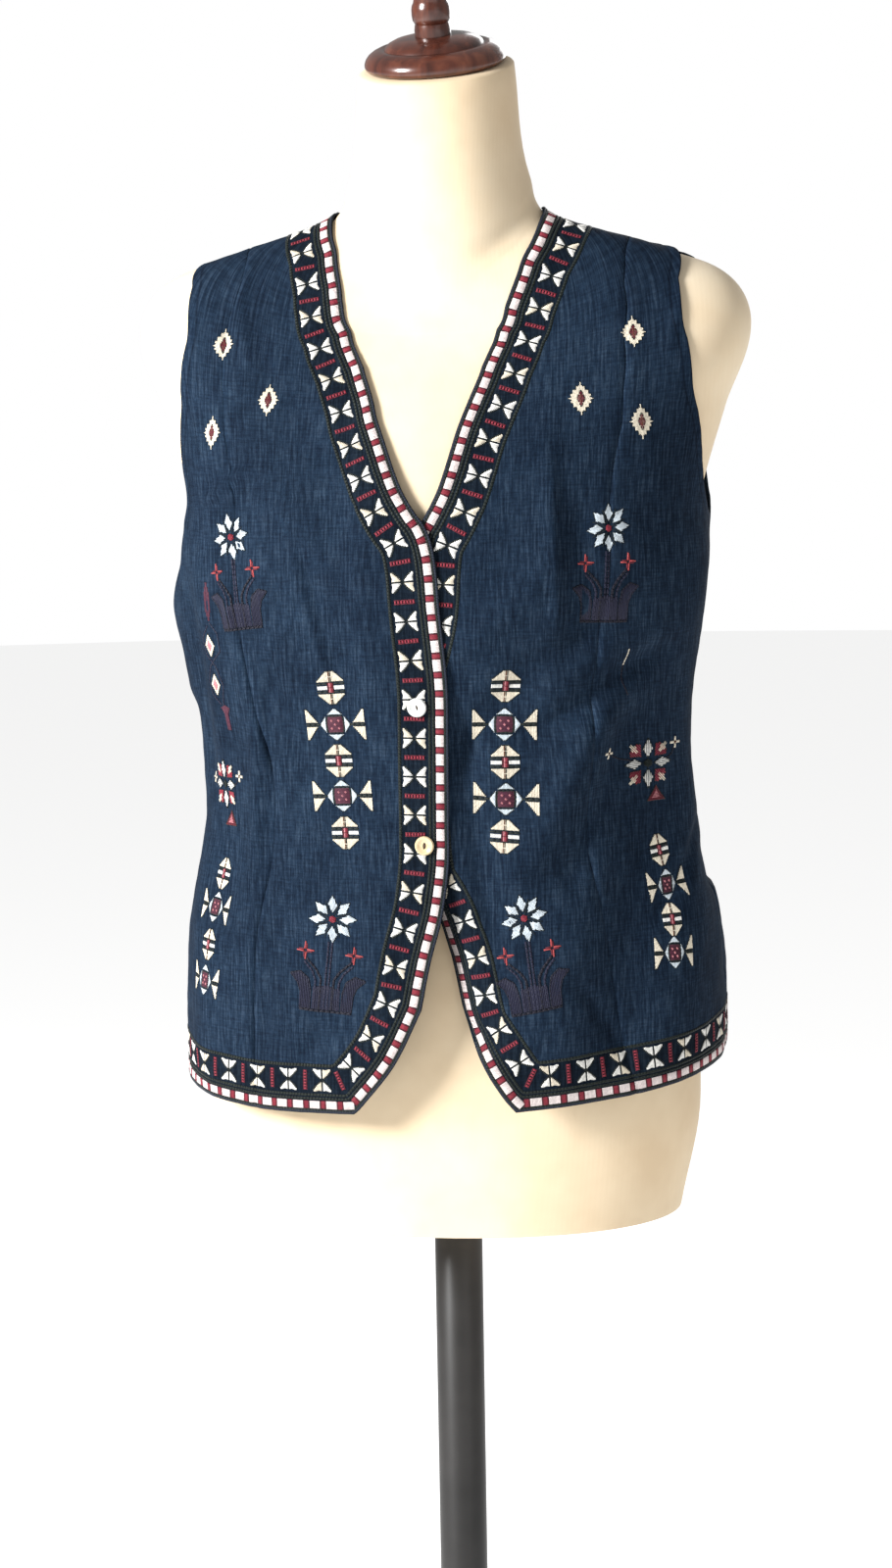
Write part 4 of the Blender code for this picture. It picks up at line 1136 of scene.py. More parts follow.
def satin(outline, angle, thread, pitch=0.78):
    """Side-by-side stitches that fill an outline in millimetres, as (from, to, width, thread, rise)."""
    turn = turning(angle)
    points = np.array(outline) @ turn.T
    low, high = points[:, 1].min(), points[:, 1].max()
    count = max(1, round((high - low) / pitch))
    step = (high - low) / count
    stitches = []
    for k in range(count):
        level = low + (k + 0.5) * step
        crossings = []
        for (x1, y1), (x2, y2) in zip(points, np.roll(points, -1, axis=0)):
            if (y1 - level) * (y2 - level) < 0:
                crossings.append(x1 + (x2 - x1) * (level - y1) / (y2 - y1))
        crossings.sort()
        for x1, x2 in zip(crossings[::2], crossings[1::2]):
            if x2 - x1 > SHORTEST_STITCH:
                start, end = np.array([x1, level]) @ turn, np.array([x2, level]) @ turn
                stitches.append((start, end, step * OVERLAP, thread, 1.0))
    return stitches


def back_stitches(points, width, thread, longest=3.0, rise=0.8):
    """Stitches end to end along a line in millimetres."""
    stitches = []
    for a, b in zip(points[:-1], points[1:]):
        a, b = np.array(a, float), np.array(b, float)
        count = max(1, math.ceil(np.linalg.norm(b - a) / longest))
        for k in range(count):
            stitches.append((a + (b - a) * k / count, a + (b - a) * (k + 1) / count, width, thread, rise))
    return stitches


def mirrored(stitches, u=1, v=1):
    flip = np.array([u, v])
    return [(start * flip, end * flip, *rest) for start, end, *rest in stitches]


def stamp(work, side, centres, along, across, stitches, spread=0.0):
    """Works a pattern at each centre. Along and across are its axes there, in girth and height."""
    start = np.array([s[0] for s in stitches]) * MM
    end = np.array([s[1] for s in stitches]) * MM
    width = np.array([s[2] for s in stitches]) * MM
    threads = np.array([THREAD_NAMES.index(s[3]) for s in stitches])
    rise = np.array([s[4] for s in stitches])
    for centre, u_axis, v_axis in zip(centres, along, across):
        size = 1 + spread * needle.uniform(-1, 1)
        slip = needle.uniform(-1, 1, 2) * spread * 4 * MM
        axes = np.stack([u_axis, v_axis])
        low, high = (start * size + slip) @ axes + centre, (end * size + slip) @ axes + centre
        for level in np.unique(rise):
            same = rise == level
            work.add(side, low[same], high[same], width[same], threads[same], level)


def resampled(path, lengths, wanted):
    return np.stack([np.interp(wanted, lengths, path[:, 0]), np.interp(wanted, lengths, path[:, 1])], -1)


def measured(side, path):
    """Distance along a line on the cloth, at each of its points."""
    points = on_cloth(side, path[:, 0], path[:, 1])
    return np.concatenate([[0], np.cumsum(np.linalg.norm(np.diff(points, axis=0), axis=1))])


def border_path(side):
    """The open edge from the centre back of the hem, round the front, to the centre back of the neck."""
    fine = np.linspace(0, 1, PATH_POINTS)
    foot, head = np.array([0.0]), np.array([1.0])
    lines = [back_panel(side, foot, fine)[:, 0], front_panel(side, "side", foot, fine[::-1])[:, 0]]
    lines += [front_panel(side, "centre", foot, fine[::-1])[:, 0]]
    lines += [edge_curve(FRONT_EDGE[side], fine, (EDGE_CORNER_ROW,))]
    lines += [back_panel(side, head, fine[::-1] * BACK_NECK_SHARE)[:, 0]]
    places, turns = np.concatenate([line[:, 1:] for line in lines], axis=1)
    path = np.stack([girth_at(turns, places), column("front", places)], -1)
    lengths = measured(side, path)
    return resampled(path, lengths, np.arange(0, lengths[-1], BORDER_STEP))


def without_loops(path):
    """A line without the loops that stepping inwards makes of it in a corner."""
    keep = np.ones(len(path), bool)
    step = np.diff(path, axis=0)
    for reach in range(LONGEST_LOOP, 1, -1):
        a, b = step[:-reach], step[reach:]
        off = path[reach:-1] - path[: -1 - reach]
        turn = a[:, 0] * b[:, 1] - a[:, 1] * b[:, 0]
        turn = np.where(np.abs(turn) < PARALLEL, PARALLEL, turn)
        s = (off[:, 0] * b[:, 1] - off[:, 1] * b[:, 0]) / turn
        t = (off[:, 0] * a[:, 1] - off[:, 1] * a[:, 0]) / turn
        for i in np.flatnonzero((s >= 0) & (s < 1) & (t >= 0) & (t < 1)):
            if keep[i + 1 : i + reach + 1].all():
                keep[i + 1 : i + reach + 1] = False
    return path[keep]


def inward_rows(side, path, depths):
    """Lines beside a cut edge, at rising depths from it along the cloth."""
    edge = on_cloth(side, path[:, 0], path[:, 1])
    along = unit(np.gradient(edge, axis=0))
    rows, moved, done = [], path.copy(), 0.0
    for depth in depths:
        count = max(1, math.ceil((depth - done) / MARCH_STEP))
        for _ in range(count):
            round_it, up_it, out = cloth_frame(side, moved[:, 0], moved[:, 1])
            inward = side * unit(np.cross(along, out))
            moved = moved + cloth_steps(round_it, up_it, inward * (depth - done) / count)
        done = depth
        rows.append(without_loops(moved))
    return rows


def row_places(side, row, pitch, phase=0.0, blend=0.001):
    """Centres and axes of what repeats along a row. The pitch is stretched so that both ends match."""
    lengths = measured(side, row)
    count = round(lengths[-1] / pitch)
    wanted = (np.arange(count) + 0.5 + phase) * (lengths[-1] / count)
    wanted = wanted[(wanted > 0) & (wanted < lengths[-1])]
    centres = resampled(row, lengths, wanted)
    ahead = resampled(row, lengths, np.clip(wanted + blend, 0, lengths[-1]))
    behind = resampled(row, lengths, np.clip(wanted - blend, 0, lengths[-1]))
    round_it, up_it, out = cloth_frame(side, centres[:, 0], centres[:, 1])
    step_on = ahead - behind
    run = unit(round_it * step_on[:, :1] + up_it * step_on[:, 1:])
    inward = side * np.cross(run, out)
    return centres, cloth_steps(round_it, up_it, run), cloth_steps(round_it, up_it, inward)


def chain(work, side, row, length, width, thread, rise=0.9):
    """A line of stitches end to end along a row."""
    lengths = measured(side, row)
    count = round(lengths[-1] / length)
    points = resampled(row, lengths, np.linspace(0, lengths[-1], count + 1))
    work.add(side, points[:-1], points[1:], width, thread, rise)


def all_ways(stitches):
    return [s for u in (1, -1) for v in (1, -1) for s in mirrored(stitches, u, v)]


WING = [(0.55, 0.8), (0.55, 6.9), (2.6, 6.5), (5.6, 7.4), (6.1, 6.2), (3.3, 3.0)]
wing = satin(WING, 90, "white") + back_stitches([(0.6, 0.2), (3.9, 2.7), (6.8, 6.0)], 0.6, "bottle", 5.0, 0.7)
body = back_stitches([(0, -5.4), (0, 5.4)], 0.6, "bottle", 5.4)
butterfly = all_ways(wing) + body
pale_wing = [(*s[:3], "cream" if s[3] == "white" else s[3], s[4]) for s in wing]
mixed_butterfly = []
for u, v, one in ((1, 1, pale_wing), (1, -1, wing), (-1, 1, wing), (-1, -1, pale_wing)):
    mixed_butterfly += mirrored(one, u, v)
mixed_butterfly += body
red_bar = []
for u in (-1.15, 1.15):
    red_bar += back_stitches([(u, -6.5), (u, 6.5)], 0.6, "maroon", 4.4, 0.7)
red_bar += [(np.array([-1.0, v]), np.array([1.0, v]), 1.35, "red", 1.1) for v in np.linspace(-5.6, 5.6, 7)]
white_block = satin([(-3.6, -2.6), (-3.6, 2.6), (3.6, 2.6), (3.6, -2.6)], 90, "blush", 0.8)
red_block = satin([(-2.0, -2.6), (-2.0, 2.6), (2.0, 2.6), (2.0, -2.6)], 90, "maroon", 0.8)
red_block[1:-1] = [(*s[:3], "red", 1.25) for s in red_block[1:-1]]

border_lines, border_blocks, border_figures = Needlework(), Needlework(), Needlework()
ground_edges, ground_inward = {}, {}
GROUND_REACH = 6
BORDER_DEPTHS = np.array([1.0, 2.2, 5.4, 9.4, 11.8, 21.2, 30.5]) * MM
LINE_STITCH, LINE_WIDTH = 0.0022, 0.0017
BLOCK_PITCH, FIGURE_PITCH, FIGURE_BLEND = 0.0118, 0.024, 0.006
for side in (RIGHT, LEFT):
    rows = inward_rows(side, border_path(side), BORDER_DEPTHS)
    whipped, edging, blocks, chain_a, chain_b, figures, inner = rows
    chain(border_lines, side, whipped, 0.0016, 0.0016, "indigo", 0.6)
    chain(border_lines, side, edging, LINE_STITCH, 0.0018, "bottle")
    chain(border_lines, side, chain_a, LINE_STITCH, LINE_WIDTH, "bottle")
    chain(border_lines, side, chain_b, LINE_STITCH, LINE_WIDTH, "bottle")
    chain(border_lines, side, inner, LINE_STITCH, 0.0020, "bottle", 1.1)
    for pattern, phase in ((white_block, 0.0), (red_block, 0.5)):
        centres, along, across = row_places(side, blocks, BLOCK_PITCH, phase)
        stamp(border_blocks, side, centres, along, across, pattern, 0.02)
    centres, along, across = row_places(side, figures, FIGURE_PITCH, 0.0, FIGURE_BLEND)
    stamp(border_figures, side, centres[::2], along[::2], across[::2], butterfly, 0.03)
    stamp(border_figures, side, centres[1::2], along[1::2], across[1::2], mixed_butterfly, 0.03)
    centres, along, across = row_places(side, figures, FIGURE_PITCH, 0.5, FIGURE_BLEND)
    stamp(border_figures, side, centres, along, across, red_bar, 0.02)
    inner_points = on_cloth(side, inner[:, 0], inner[:, 1])
    ahead = np.minimum(np.arange(len(inner)) + GROUND_REACH, len(inner) - 1)
    behind = np.maximum(np.arange(len(inner)) - GROUND_REACH, 0)
    out = cloth_frame(side, inner[:, 0], inner[:, 1])[2]
    ground_edges[side] = inner_points
    ground_inward[side] = side * np.cross(unit(inner_points[ahead] - inner_points[behind]), out)
for panel in panels:
    line, inward = lines_by(panel, ground_edges), lines_by(panel, ground_inward)
    points = corners_of(panel)
    which = nearest(points, line)[1]
    store(panel, "from_border", ((points - line[which]) * inward[which]).sum(-1))
border_lines.sew("border_lines")
border_blocks.sew("border_blocks")
border_figures.sew("border_figures")


# Embroidered figures.
# The same cotton, in satin stitch with dark outlines: diamonds on the chest, two flowers and a
# column of medallions on each front, and a rosette over a second column towards each side.
def rotated(stitches, degrees):
    turn = turning(degrees)
    return [(start @ turn, end @ turn, *rest) for start, end, *rest in stitches]


def raised(stitches, rise):
    return [(*s[:4], rise) for s in stitches]


def outlined(outline, angle, thread, pitch=0.8, edge=0.75):
    """A filled shape with a dark line round it."""
    line = back_stitches([*outline, outline[0]], edge, "bottle", 3.2, 0.75)
    return satin(outline, angle, thread, pitch) + line


half_moon = [(-2.2, 10.4), (2.2, 10.4), (8.8, 4.6), (8.8, 3.7), (-8.8, 3.7), (-8.8, 4.6)]
medallion = outlined(half_moon, 90, "cream")
medallion += back_stitches([(-0.45, 3.6), (-0.45, 10.4)], 0.8, "brown", 3.5, 1.6)
medallion += back_stitches([(0.45, 3.6), (0.45, 10.4)], 0.7, "bottle", 3.5, 1.5)
medallion += mirrored(medallion, 1, -1)
bar_end = satin([(2.2, -1.25), (2.2, 1.25), (9.0, 1.25), (9.0, -1.25)], 90, "white", 0.85)
medallion += bar_end + mirrored(bar_end, -1, 1)
for v in (-2.45, 2.45):
    medallion += back_stitches([(-9.4, v), (9.4, v)], 1.2, "bottle", 3.8, 1.0)
knot = ((-1.45, 0.9, "maroon"), (-0.5, 1.1, "rose"), (0.5, 1.1, "red"), (1.45, 0.9, "maroon"))
for u, width, thread in knot:
    medallion += back_stitches([(u, -3.2), (u, 3.2)], width, thread, 3.4, 1.7)

star_point = outlined([(-5.0, 6.2), (5.0, 6.2), (0.7, 9.9), (-0.7, 9.9)], 90, "ice", 0.85)
star_wing = outlined([(12.0, 1.2), (19.6, 1.2), (20.0, 9.8), (18.8, 9.8)], 90, "cream", 0.85)
star_heart = [(-5.0, -5.0), (-5.6, 0), (-5.0, 5.0), (5.0, 5.0), (5.6, 0), (5.0, -5.0)]
winged_star = outlined(star_heart, 0, "plum", 0.85, 1.1)
for quarter in range(4):
    winged_star += rotated(star_point, 90 * quarter)
winged_star += all_ways(star_wing)
for u in (-1, 1):
    winged_star += back_stitches([(u * 10.0, 0), (u * 20.4, 0)], 1.3, "bottle", 3.6, 1.0)
for u, v in ((0, 0), (-2.4, -2.4), (2.4, -2.4), (-2.4, 2.4), (2.4, 2.4)):
    dot = satin([(u - 1, v), (u, v + 1), (u + 1, v), (u, v - 1)], 45, "rose", 0.7)
    winged_star += raised(dot, 1.8)

petal = outlined([(3.9, 0), (8.2, -2.9), (14.9, 0.2), (9.8, 2.9)], 12, "ice", 0.8, 0.6)
flower_head = [s for k in range(8) for s in rotated(petal, 45 * k + 4)]
six_sided = [(-2.0, -1.2), (-2.0, 1.2), (0, 2.2), (2.0, 1.2), (2.0, -1.2), (0, -2.2)]
flower_head += raised(satin(six_sided, 30, "red", 0.8), 1.6)
for k in range(8):
    flower_head += rotated(back_stitches([(2.2, 0), (12.0, 0)], 0.5, "bottle", 3.4, 0.8), 45 * k + 26)

bud = []
for k in range(4):
    bud += rotated(back_stitches([(0.6, -0.7), (4.4, -0.5)], 1.3, "maroon", 4.0, 0.9), 90 * k)
    bud += rotated(back_stitches([(0.8, 0.5), (5.6, 0.2)], 1.0, "coral", 5.0, 1.3), 90 * k)

leaf = [(23.5, -36.0), (17.0, -34.0), (11.6, -38.0), (9.8, -45.0), (9.4, -56.6)]
leaf += [(16.0, -56.6), (16.4, -46.5), (18.4, -41.0)]
stalks = satin(leaf, 90, "navy", 1.0) + back_stitches([*leaf, leaf[0]], 0.9, "midnight", 3.2, 1.3)
stalks += satin([(0.0, -41.0), (8.6, -43.0), (8.6, -56.6), (0.0, -56.6)], 90, "navy", 1.1)
stalks += back_stitches([(14.0, -25.5), (7.4, -32.0), (4.2, -37.0), (3.6, -56.6)], 1.7, "midnight", 3.4, 1.4)
stalks += back_stitches([(15.2, -27.5), (9.8, -33.0), (7.4, -38.5), (7.0, -56.6)], 1.5, "navy", 3.4, 1.3)
stalks += back_stitches([(1.1, -14.0), (1.1, -56.6)], 1.5, "navy", 3.4, 1.4)
stalks += back_stitches([(0.0, -57.4), (16.2, -57.4)], 1.4, "midnight", 3.4, 1.3)
plant = flower_head + stalks + mirrored(stalks, -1, 1)
for u in (-15.0, 15.0):
    plant += [(start + (u, -21.0), end + (u, -21.0), *rest) for start, end, *rest in bud]

teeth = [(0, 10.8), (1.1, 7.8), (2.9, 8.2), (3.1, 5.7), (5.1, 5.6), (5.2, 3.3), (7.2, 2.9)]
teeth += [(6.4, 1.0), (8.6, 0)]
toothed = teeth + [(u, -v) for u, v in teeth[-2::-1]]
toothed += [(-u, v) for u, v in toothed[-2:0:-1]]
heart = [(0, 5.6), (2.7, 0), (0, -5.6), (-2.7, 0)]
diamond = satin(toothed, 90, "cream", 0.8) + back_stitches([*toothed, toothed[0]], 0.6, "bottle", 3.2, 0.6)
diamond += back_stitches([*heart, heart[0]], 0.9, "bottle", 4.0, 1.5)
diamond += raised(satin(heart, 90, "maroon", 0.85), 1.6)
diamond += back_stitches([(0, -2.8), (0, 2.8)], 1.0, "brown", 4.0, 2.0)
hollow = [(0, 7.6), (5.0, 0), (0, -7.6), (-5.0, 0)]
slim_diamond = outlined(hollow, 90, "cream", 0.85)
slim_diamond += raised(satin([(0, 4.6), (2.6, 0), (0, -4.6), (-2.6, 0)], 90, "rose", 0.85), 1.6)

cross_petal = raised(outlined([(2.4, 0), (6.4, 2.3), (11.4, 0), (6.4, -2.3)], 0, "white", 0.8, 0.55), 1.4)
corner = outlined([(3.0, 3.0), (3.3, 8.4), (5.4, 9.2), (9.2, 5.4), (8.4, 3.3)], 45, "red", 0.8, 0.5)
dart = raised(satin([(6.2, 0), (9.8, 1.5), (13.2, 0), (9.8, -1.5)], 0, "cream", 0.8), 1.7)
ROSETTE_SIZE = 1.42
rosette = []
for quarter in range(4):
    rosette += rotated(corner + cross_petal, 90 * quarter) + rotated(dart, 90 * quarter + 45)
rosette = [(start * ROSETTE_SIZE, end * ROSETTE_SIZE, *rest) for start, end, *rest in rosette]
rosette_eye = [(-2.6, -1.2), (-2.6, 1.2), (0, 2.8), (2.6, 1.2), (2.6, -1.2), (0, -2.8)]
rosette += raised(satin(rosette_eye, 0, "bottle", 0.8), 1.5)
pendant = outlined([(0, 5.4), (6.4, -4.2), (-6.4, -4.2)], 0, "maroon", 0.85, 0.7)
pendant += raised(satin([(0, 2.6), (3.4, -2.6), (-3.4, -2.6)], 0, "rose", 0.85), 1.6)
small_petal = back_stitches([(0.7, 0), (3.8, 0)], 1.7, "cream", 4.0, 1.2)
small_flower = [s for k in range(4) for s in rotated(small_petal, 90 * k)]
small_flower += back_stitches([(-0.7, 0), (0.7, 0)], 1.2, "brown", 4.0, 1.6)
lens = satin([(0, 14.0), (2.6, 5.0), (2.4, -6.0), (0, -14.0), (-2.4, -6.0), (-2.6, 5.0)], 90, "plum", 0.9)
dark_outline = [(-4.5, 7.0), (0, 9.0), (4.5, 7.0), (1.5, 2.0), (2.0, -8.0), (-2.0, -8.0), (-1.5, 2.0)]
dark_flower = satin(dark_outline, 90, "plum", 0.9)

Figure = namedtuple("Figure", "side pattern width places")
FIGURES = [
    Figure(LEFT, diamond, 0.90, [(0.1284, 1.3022), (0.0960, 1.2713), (0.1351, 1.2552)]),
    Figure(RIGHT, diamond, 0.82, [(0.1334, 1.2997), (0.0994, 1.2731), (0.1414, 1.2527)]),
    Figure(LEFT, rosette, 1.20, [(0.1481, 1.0480)]),
    Figure(RIGHT, rosette, 0.72, [(0.1528, 1.0344)]),
    Figure(LEFT, pendant, 1.2, [(0.1536, 1.0282)]),
    Figure(RIGHT, pendant, 0.9, [(0.1475, 1.0121)]),
    Figure(LEFT, small_flower, 1.3, [(0.1164, 1.0567), (0.1715, 1.0598)]),
    Figure(RIGHT, small_flower, 1.1, [(0.1361, 1.0406), (0.1700, 1.0370)]),
    Figure(RIGHT, slim_diamond, 1.0, [(0.1522, 1.1253), (0.1500, 1.1000)]),
    Figure(RIGHT, lens, 1.0, [(0.1502, 1.1531)]),
    Figure(RIGHT, dark_flower, 1.0, [(0.1422, 1.0783)]),
]
COLUMNS = [
    (LEFT, 1.0, [(0.0508, 1.1018), (0.0494, 1.0777), (0.0490, 1.0548), (0.0488, 1.0319), (0.0476, 1.0084)]),
    (RIGHT, 1.0, [(0.0580, 1.1018), (0.0558, 1.0789), (0.0546, 1.0560), (0.0530, 1.0338), (0.0518, 1.0103)]),
    (LEFT, 0.70, [(0.1546, 0.9923), (0.1587, 0.9695), (0.1597, 0.9466), (0.1594, 0.9249)]),
    (RIGHT, 0.62, [(0.1512, 0.9769), (0.1547, 0.9559), (0.1576, 0.9330), (0.1615, 0.9113)]),
]
PLANTS = [
    (LEFT, (0.1160, 1.1971), (0.1015, 1.1760), (0.1289, 1.1760), (0.1135, 1.1408)),
    (RIGHT, (0.1274, 1.1940), (0.1390, 1.1723), (0.1094, 1.1754), (0.1189, 1.1383)),
    (LEFT, (0.0590, 0.9565), (0.0491, 0.9330), (0.0775, 0.9379), (0.0662, 0.8977)),
    (RIGHT, (0.0612, 0.9559), (0.0805, 0.9361), (0.0476, 0.9336), (0.0676, 0.8996)),
]
BUD_SPACING, STALK_HEIGHT = 0.030, 0.0565
VINE_STITCH, VINE_WIDTH = 0.0025, 0.0010
VINES = [
    (LEFT, "midnight", [(0.1190, 1.0548), (0.1260, 1.0520), (0.1345, 1.0505), (0.1375, 1.0500)]),
    (LEFT, "midnight", [(0.1700, 1.0570), (0.1680, 1.0530), (0.1640, 1.0505), (0.1590, 1.0500)]),
    (RIGHT, "midnight", [(0.1375, 1.0385), (0.1400, 1.0350), (0.1430, 1.0345)]),
    (RIGHT, "midnight", [(0.1680, 1.0350), (0.1660, 1.0330), (0.1630, 1.0340)]),
    (RIGHT, "navy", [(0.150, 1.140), (0.143, 1.133), (0.142, 1.122), (0.154, 1.112), (0.158, 1.102)]),
    (RIGHT, "navy", [(0.1580, 1.1020), (0.1550, 1.0930), (0.1460, 1.0870)]),
    (RIGHT, "navy", [(0.152, 1.138), (0.160, 1.130), (0.159, 1.120), (0.148, 1.112), (0.142, 1.100)]),
    (RIGHT, "navy", [(0.1420, 1.1000), (0.1430, 1.0930), (0.1440, 1.0870)]),
    (LEFT, "cream", [(0.1304, 1.1225), (0.1300, 1.1170), (0.1290, 1.1110)]),
    (LEFT, "midnight", [(0.1290, 1.1110), (0.1270, 1.1020), (0.1300, 1.0930)]),
]


def upright_axes(side, centres, up):
    """Axes of a figure on the cloth, from the direction in space that its top points in."""
    round_it, up_it, out = cloth_frame(side, centres[:, 0], centres[:, 1])
    up = unit(up - (up * out).sum(-1, keepdims=True) * out)
    return cloth_steps(round_it, up_it, np.cross(up, out)), cloth_steps(round_it, up_it, up)


figures_right, figures_left = Needlework(), Needlework()
works = {RIGHT: figures_right, LEFT: figures_left}
for side, pattern, width, places in FIGURES:
    centres = np.array(places)
    along, across = upright_axes(side, centres, np.tile([0.0, 0.0, 1.0], (len(places), 1)))
    stamp(works[side], side, centres, along * width, across, pattern, 0.02)
for side, width, places in COLUMNS:
    centres = np.array(places)
    spots = on_cloth(side, centres[:, 0], centres[:, 1])
    along, across = upright_axes(side, centres, -np.gradient(spots, axis=0))
    along = along * width
    stamp(works[side], side, centres[::2], along[::2], across[::2], medallion, 0.015)
    stamp(works[side], side, centres[1::2], along[1::2], across[1::2], winged_star, 0.015)
for side, head, left_bud, right_bud, foot in PLANTS:
    head, foot = np.array([head]), np.array([foot])
    along = (np.array([right_bud]) - np.array([left_bud])) / BUD_SPACING
    stamp(works[side], side, head, along, (head - foot) / STALK_HEIGHT, plant)
for side, thread, places in VINES:
    path = np.array(places)
    lengths = measured(side, path)
    points = resampled(path, lengths, np.linspace(0, lengths[-1], 2 + round(lengths[-1] / VINE_STITCH)))
    works[side].add(side, points[:-1], points[1:], VINE_WIDTH, thread, 0.9)
figures_right.sew("figures_right")
figures_left.sew("figures_left")


# Two shell buttons.
# Each is turned from pearl shell with a dish in its face and a slot cut through the dish, and sewn
# on through the slot. The upper one is white, the lower one a golden ivory.
BUTTON_RADIUS = 0.0060
BUTTON_GAP = 0.0005
BUTTON_PROFILE = [
    (0.0, 0.0014),
    (0.0018, 0.0014),
    (0.0030, 0.0017),
    (0.0040, 0.0022),
    (0.0047, 0.0026),
    (0.0053, 0.0026),
    (0.0058, 0.0021),
    (BUTTON_RADIUS, 0.0015),
    (0.0057, 0.0008),
    (0.0050, 0.0002),
    (0.0042, 0.0),
    (0.0, 0.0),
]
nacre = bpy.data.node_groups.new("nacre", "ShaderNodeTree")
for name, way, kind in (
    ("Position", "INPUT", "Vector"),
    ("Body", "INPUT", "Color"),
    ("Glint", "INPUT", "Color"),
    ("Colour", "OUTPUT", "Color"),
    ("Relief", "OUTPUT", "Float"),
):
    nacre.interface.new_socket(name=name, in_out=way, socket_type="NodeSocket" + kind)
nodes, links = nacre.nodes, nacre.links
given, made = nodes.new("NodeGroupInput"), nodes.new("NodeGroupOutput")
layers = noise(nodes, links, given.outputs["Position"], 320.0, 3.0, 0.6, 1.4)
layer_mix = nodes.new("ShaderNodeMix")
layer_mix.data_type = "RGBA"
links.new(layers, layer_mix.inputs["Factor"])
links.new(given.outputs["Body"], layer_mix.inputs["A"])
links.new(given.outputs["Glint"], layer_mix.inputs["B"])
links.new(layer_mix.outputs["Result"], made.inputs["Colour"])
links.new(layers, made.inputs["Relief"])

SEWN_BUTTONS = [
    ("button_upper", 1.0905, 0.0035, (0.80, 0.80, 0.76), (0.62, 0.66, 0.66), 0.0006, 0.0017, 12.0),
    ("button_lower", 1.0035, 0.0012, (0.80, 0.68, 0.45), (0.55, 0.40, 0.20), 0.0010, 0.0021, -4.0),
]
button_thread, nodes, links, shader = new_material("button_thread", (0.060, 0.034, 0.018), 0.75)
where = nodes.new("ShaderNodeTexCoord").outputs["Object"]
TWIST_SHADES = [(0.35, (0.030, 0.016, 0.009)), (0.65, (0.110, 0.066, 0.036))]
twist = noise(nodes, links, where, 2600.0, 2.0)
links.new(ramp_colour(nodes, links, twist, TWIST_SHADES), shader.inputs["Base Color"])
for node, height, girth, body, glint, slot_width, slot_length, lean in SEWN_BUTTONS:
    pearl, nodes, links, shader = new_material(node + "_pearl", body, 0.22)
    layered = nodes.new("ShaderNodeGroup")
    layered.node_tree = nacre
    adjust(layered, {"Body": (*body, 1.0), "Glint": (*glint, 1.0)})
    links.new(nodes.new("ShaderNodeTexCoord").outputs["Object"], layered.inputs["Position"])
    links.new(layered.outputs["Colour"], shader.inputs["Base Color"])
    add_bump(nodes, links, shader, layered.outputs["Relief"], 0.10, 0.0002)
    adjust(shader, {"Coat Weight": 0.5, "Coat Roughness": 0.15})

    button = turned_piece(node + "_shell", BUTTON_PROFILE, 48, 35.0)
    deselect_all()
    bpy.ops.mesh.primitive_uv_sphere_add(segments=24, ring_count=12, radius=1.0, location=(0, 0, 0.0016))
    cutter = bpy.context.active_object
    cutter.scale = (slot_width, slot_length, 0.0030)
    cutter.rotation_euler = (0, 0, math.radians(lean))
    bpy.ops.object.transform_apply(location=True, rotation=True, scale=True)
    cut = button.modifiers.new("slot", "BOOLEAN")
    cut.object = cutter
    select_only(button)
    bpy.ops.object.modifier_apply(modifier="slot")
    bpy.data.objects.remove(cutter)

    deselect_all()
    bpy.ops.mesh.primitive_uv_sphere_add(segments=16, ring_count=10, radius=1.0, location=(0, 0, 0.0004))
    tie = bpy.context.active_object
    tie.name = node + "_thread"
    tie.scale = (slot_width * 0.96, slot_length * 0.92, 0.0009)
    tie.rotation_euler = (0, 0, math.radians(lean))
    bpy.ops.object.transform_apply(location=True, rotation=True, scale=True)
    bpy.ops.object.shade_smooth_by_angle(angle=math.radians(60))

    place = place_at(height)
    turn = turn_at(girth, place)
    out = normals(-turn, place)
    seat = cloth(RIGHT, turn, place) + out * (WALL / 2 + BUTTON_GAP)
    on_lap = Matrix.Translation(Vector(seat)) @ Vector(out).to_track_quat("Z", "Y").to_matrix().to_4x4()
    for piece, finish in ((button, pearl), (tie, button_thread)):
        piece.data.transform(on_lap)
        piece.data.materials.clear()
        piece.data.materials.append(finish)
        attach(piece, "root")
    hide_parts(node)


# Studio.
# A pale floor, a soft key light from the left of the picture and a weaker fill from the right.
# The camera stands a little to the wearer's left and looks slightly down.
IMAGE_HEIGHT = 1600
FOCAL_PIXELS = 2812.0
CAMERA_AZIMUTH = math.radians(7.5)
CAMERA_DISTANCE = 1.80
CAMERA_HEIGHT = 1.269
HORIZON_ABOVE_MIDDLE = 380.0
AXIS_RIGHT_OF_MIDDLE = 5.0
CAMERA_ROLL = math.radians(1.0)
WHITE = (1.0, 1.0, 1.0, 1.0)

camera_data = bpy.data.cameras.new("camera")
camera_data.sensor_width = 36.0
camera_data.lens = 36.0 * FOCAL_PIXELS / IMAGE_HEIGHT
camera = bpy.data.objects.new("camera", camera_data)
bpy.context.scene.collection.objects.link(camera)
pitch = math.atan(HORIZON_ABOVE_MIDDLE / FOCAL_PIXELS)
turn_away = AXIS_RIGHT_OF_MIDDLE / FOCAL_PIXELS
heading = CAMERA_AZIMUTH + turn_away
level_share = math.cos(pitch)
forward = Vector((-math.sin(heading) * level_share, math.cos(heading) * level_share, -math.sin(pitch)))
level_right = Vector((math.cos(heading), math.sin(heading), 0.0))
level_up = level_right.cross(forward)
camera_right = level_right * math.cos(CAMERA_ROLL) - level_up * math.sin(CAMERA_ROLL)
camera_up = level_right * math.sin(CAMERA_ROLL) + level_up * math.cos(CAMERA_ROLL)
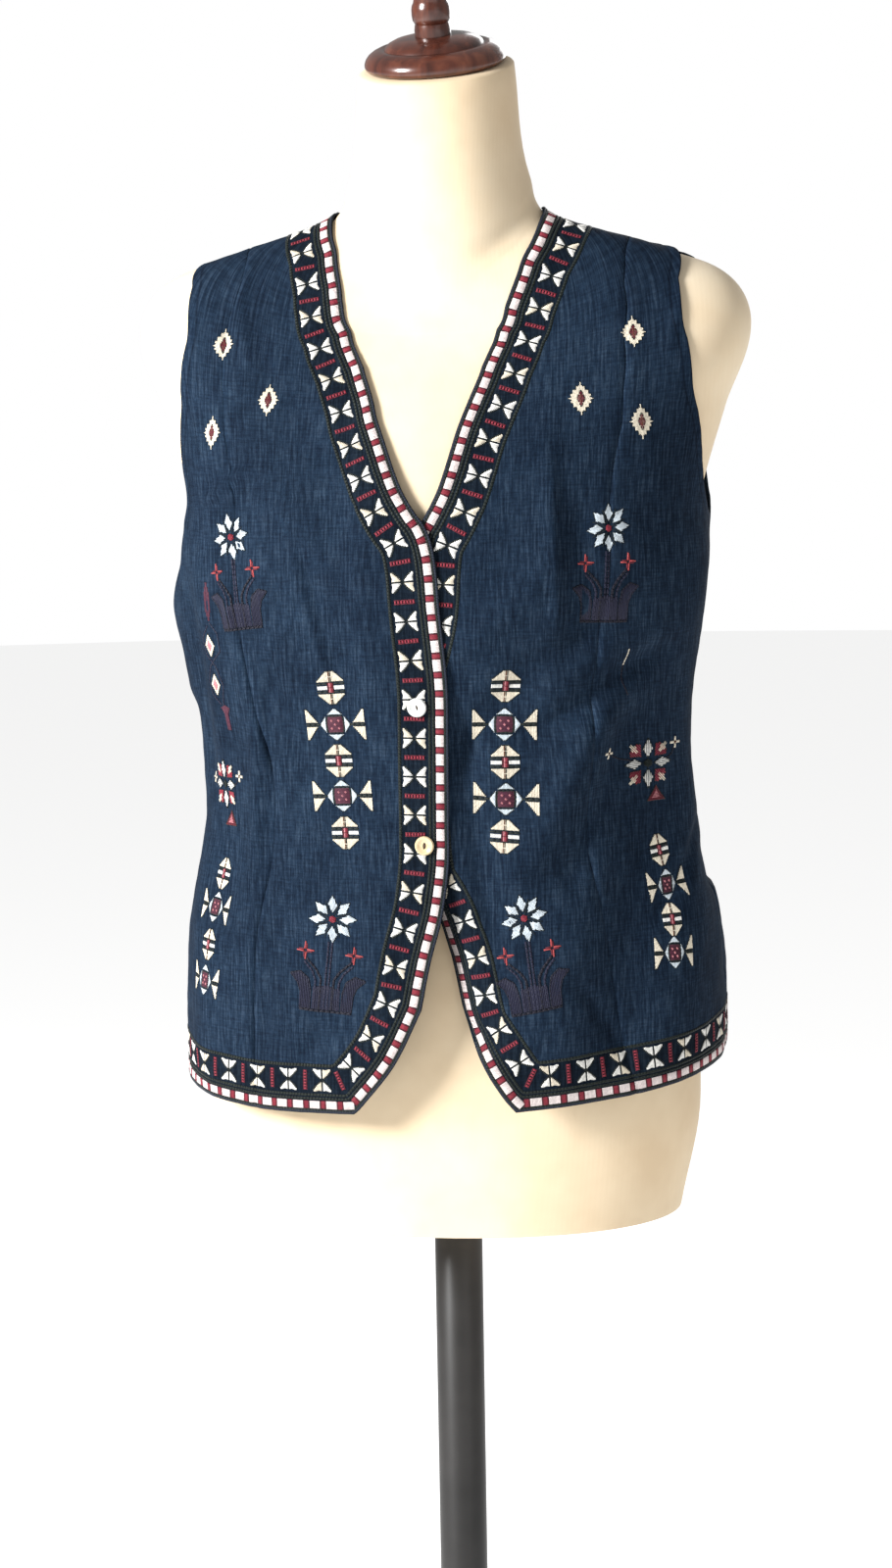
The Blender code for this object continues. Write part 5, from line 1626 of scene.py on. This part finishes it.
stand_point = Vector(
    (math.sin(CAMERA_AZIMUTH) * CAMERA_DISTANCE, -math.cos(CAMERA_AZIMUTH) * CAMERA_DISTANCE, CAMERA_HEIGHT)
)
camera.matrix_world = Matrix.Translation(stand_point) @ Matrix(
    (
        (camera_right.x, camera_up.x, -forward.x),
        (camera_right.y, camera_up.y, -forward.y),
        (camera_right.z, camera_up.z, -forward.z),
    )
).to_4x4()
bpy.context.scene.camera = camera
bpy.context.scene.view_settings.view_transform = "Standard"

deselect_all()
bpy.ops.mesh.primitive_circle_add(vertices=96, radius=14.0, fill_type="NGON", location=(0, 0, 0))
floor = bpy.context.active_object
floor.name = "floor"
floor_paint, nodes, links, shader = new_material("pale_floor", (0.86, 0.86, 0.85), 0.7)
adjust(shader, {"Emission Color": WHITE, "Emission Strength": 0.62})
floor.data.materials.append(floor_paint)

for name, energy, size, place, aim in (
    ("key", 170.0, 0.9, (-2.1, -1.9, 2.25), (0.0, 0.0, 1.10)),
    ("fill", 3.0, 1.6, (1.9, -2.2, 1.5), (0.0, 0.0, 1.10)),
    ("back", 24.0, 1.4, (0.6, 2.4, 2.2), (0.0, 0.0, 1.20)),
):
    light_data = bpy.data.lights.new(name, "AREA")
    light_data.energy = energy
    light_data.size = size
    light = bpy.data.objects.new(name, light_data)
    light.location = place
    light.rotation_euler = (Vector(aim) - Vector(place)).to_track_quat("-Z", "Y").to_euler()
    bpy.context.scene.collection.objects.link(light)

world = bpy.data.worlds.new("studio")
bpy.context.scene.world = world
world.use_nodes = True
nodes, links = world.node_tree.nodes, world.node_tree.links
ambient = nodes["Background"]
backdrop = nodes.new("ShaderNodeBackground")
adjust(ambient, {"Color": WHITE, "Strength": 0.31})
adjust(backdrop, {"Color": WHITE, "Strength": 1.0})
seen = nodes.new("ShaderNodeLightPath")
choose = nodes.new("ShaderNodeMixShader")
links.new(seen.outputs["Is Camera Ray"], choose.inputs["Fac"])
links.new(ambient.outputs["Background"], choose.inputs[1])
links.new(backdrop.outputs["Background"], choose.inputs[2])
links.new(choose.outputs["Shader"], nodes["World Output"].inputs["Surface"])
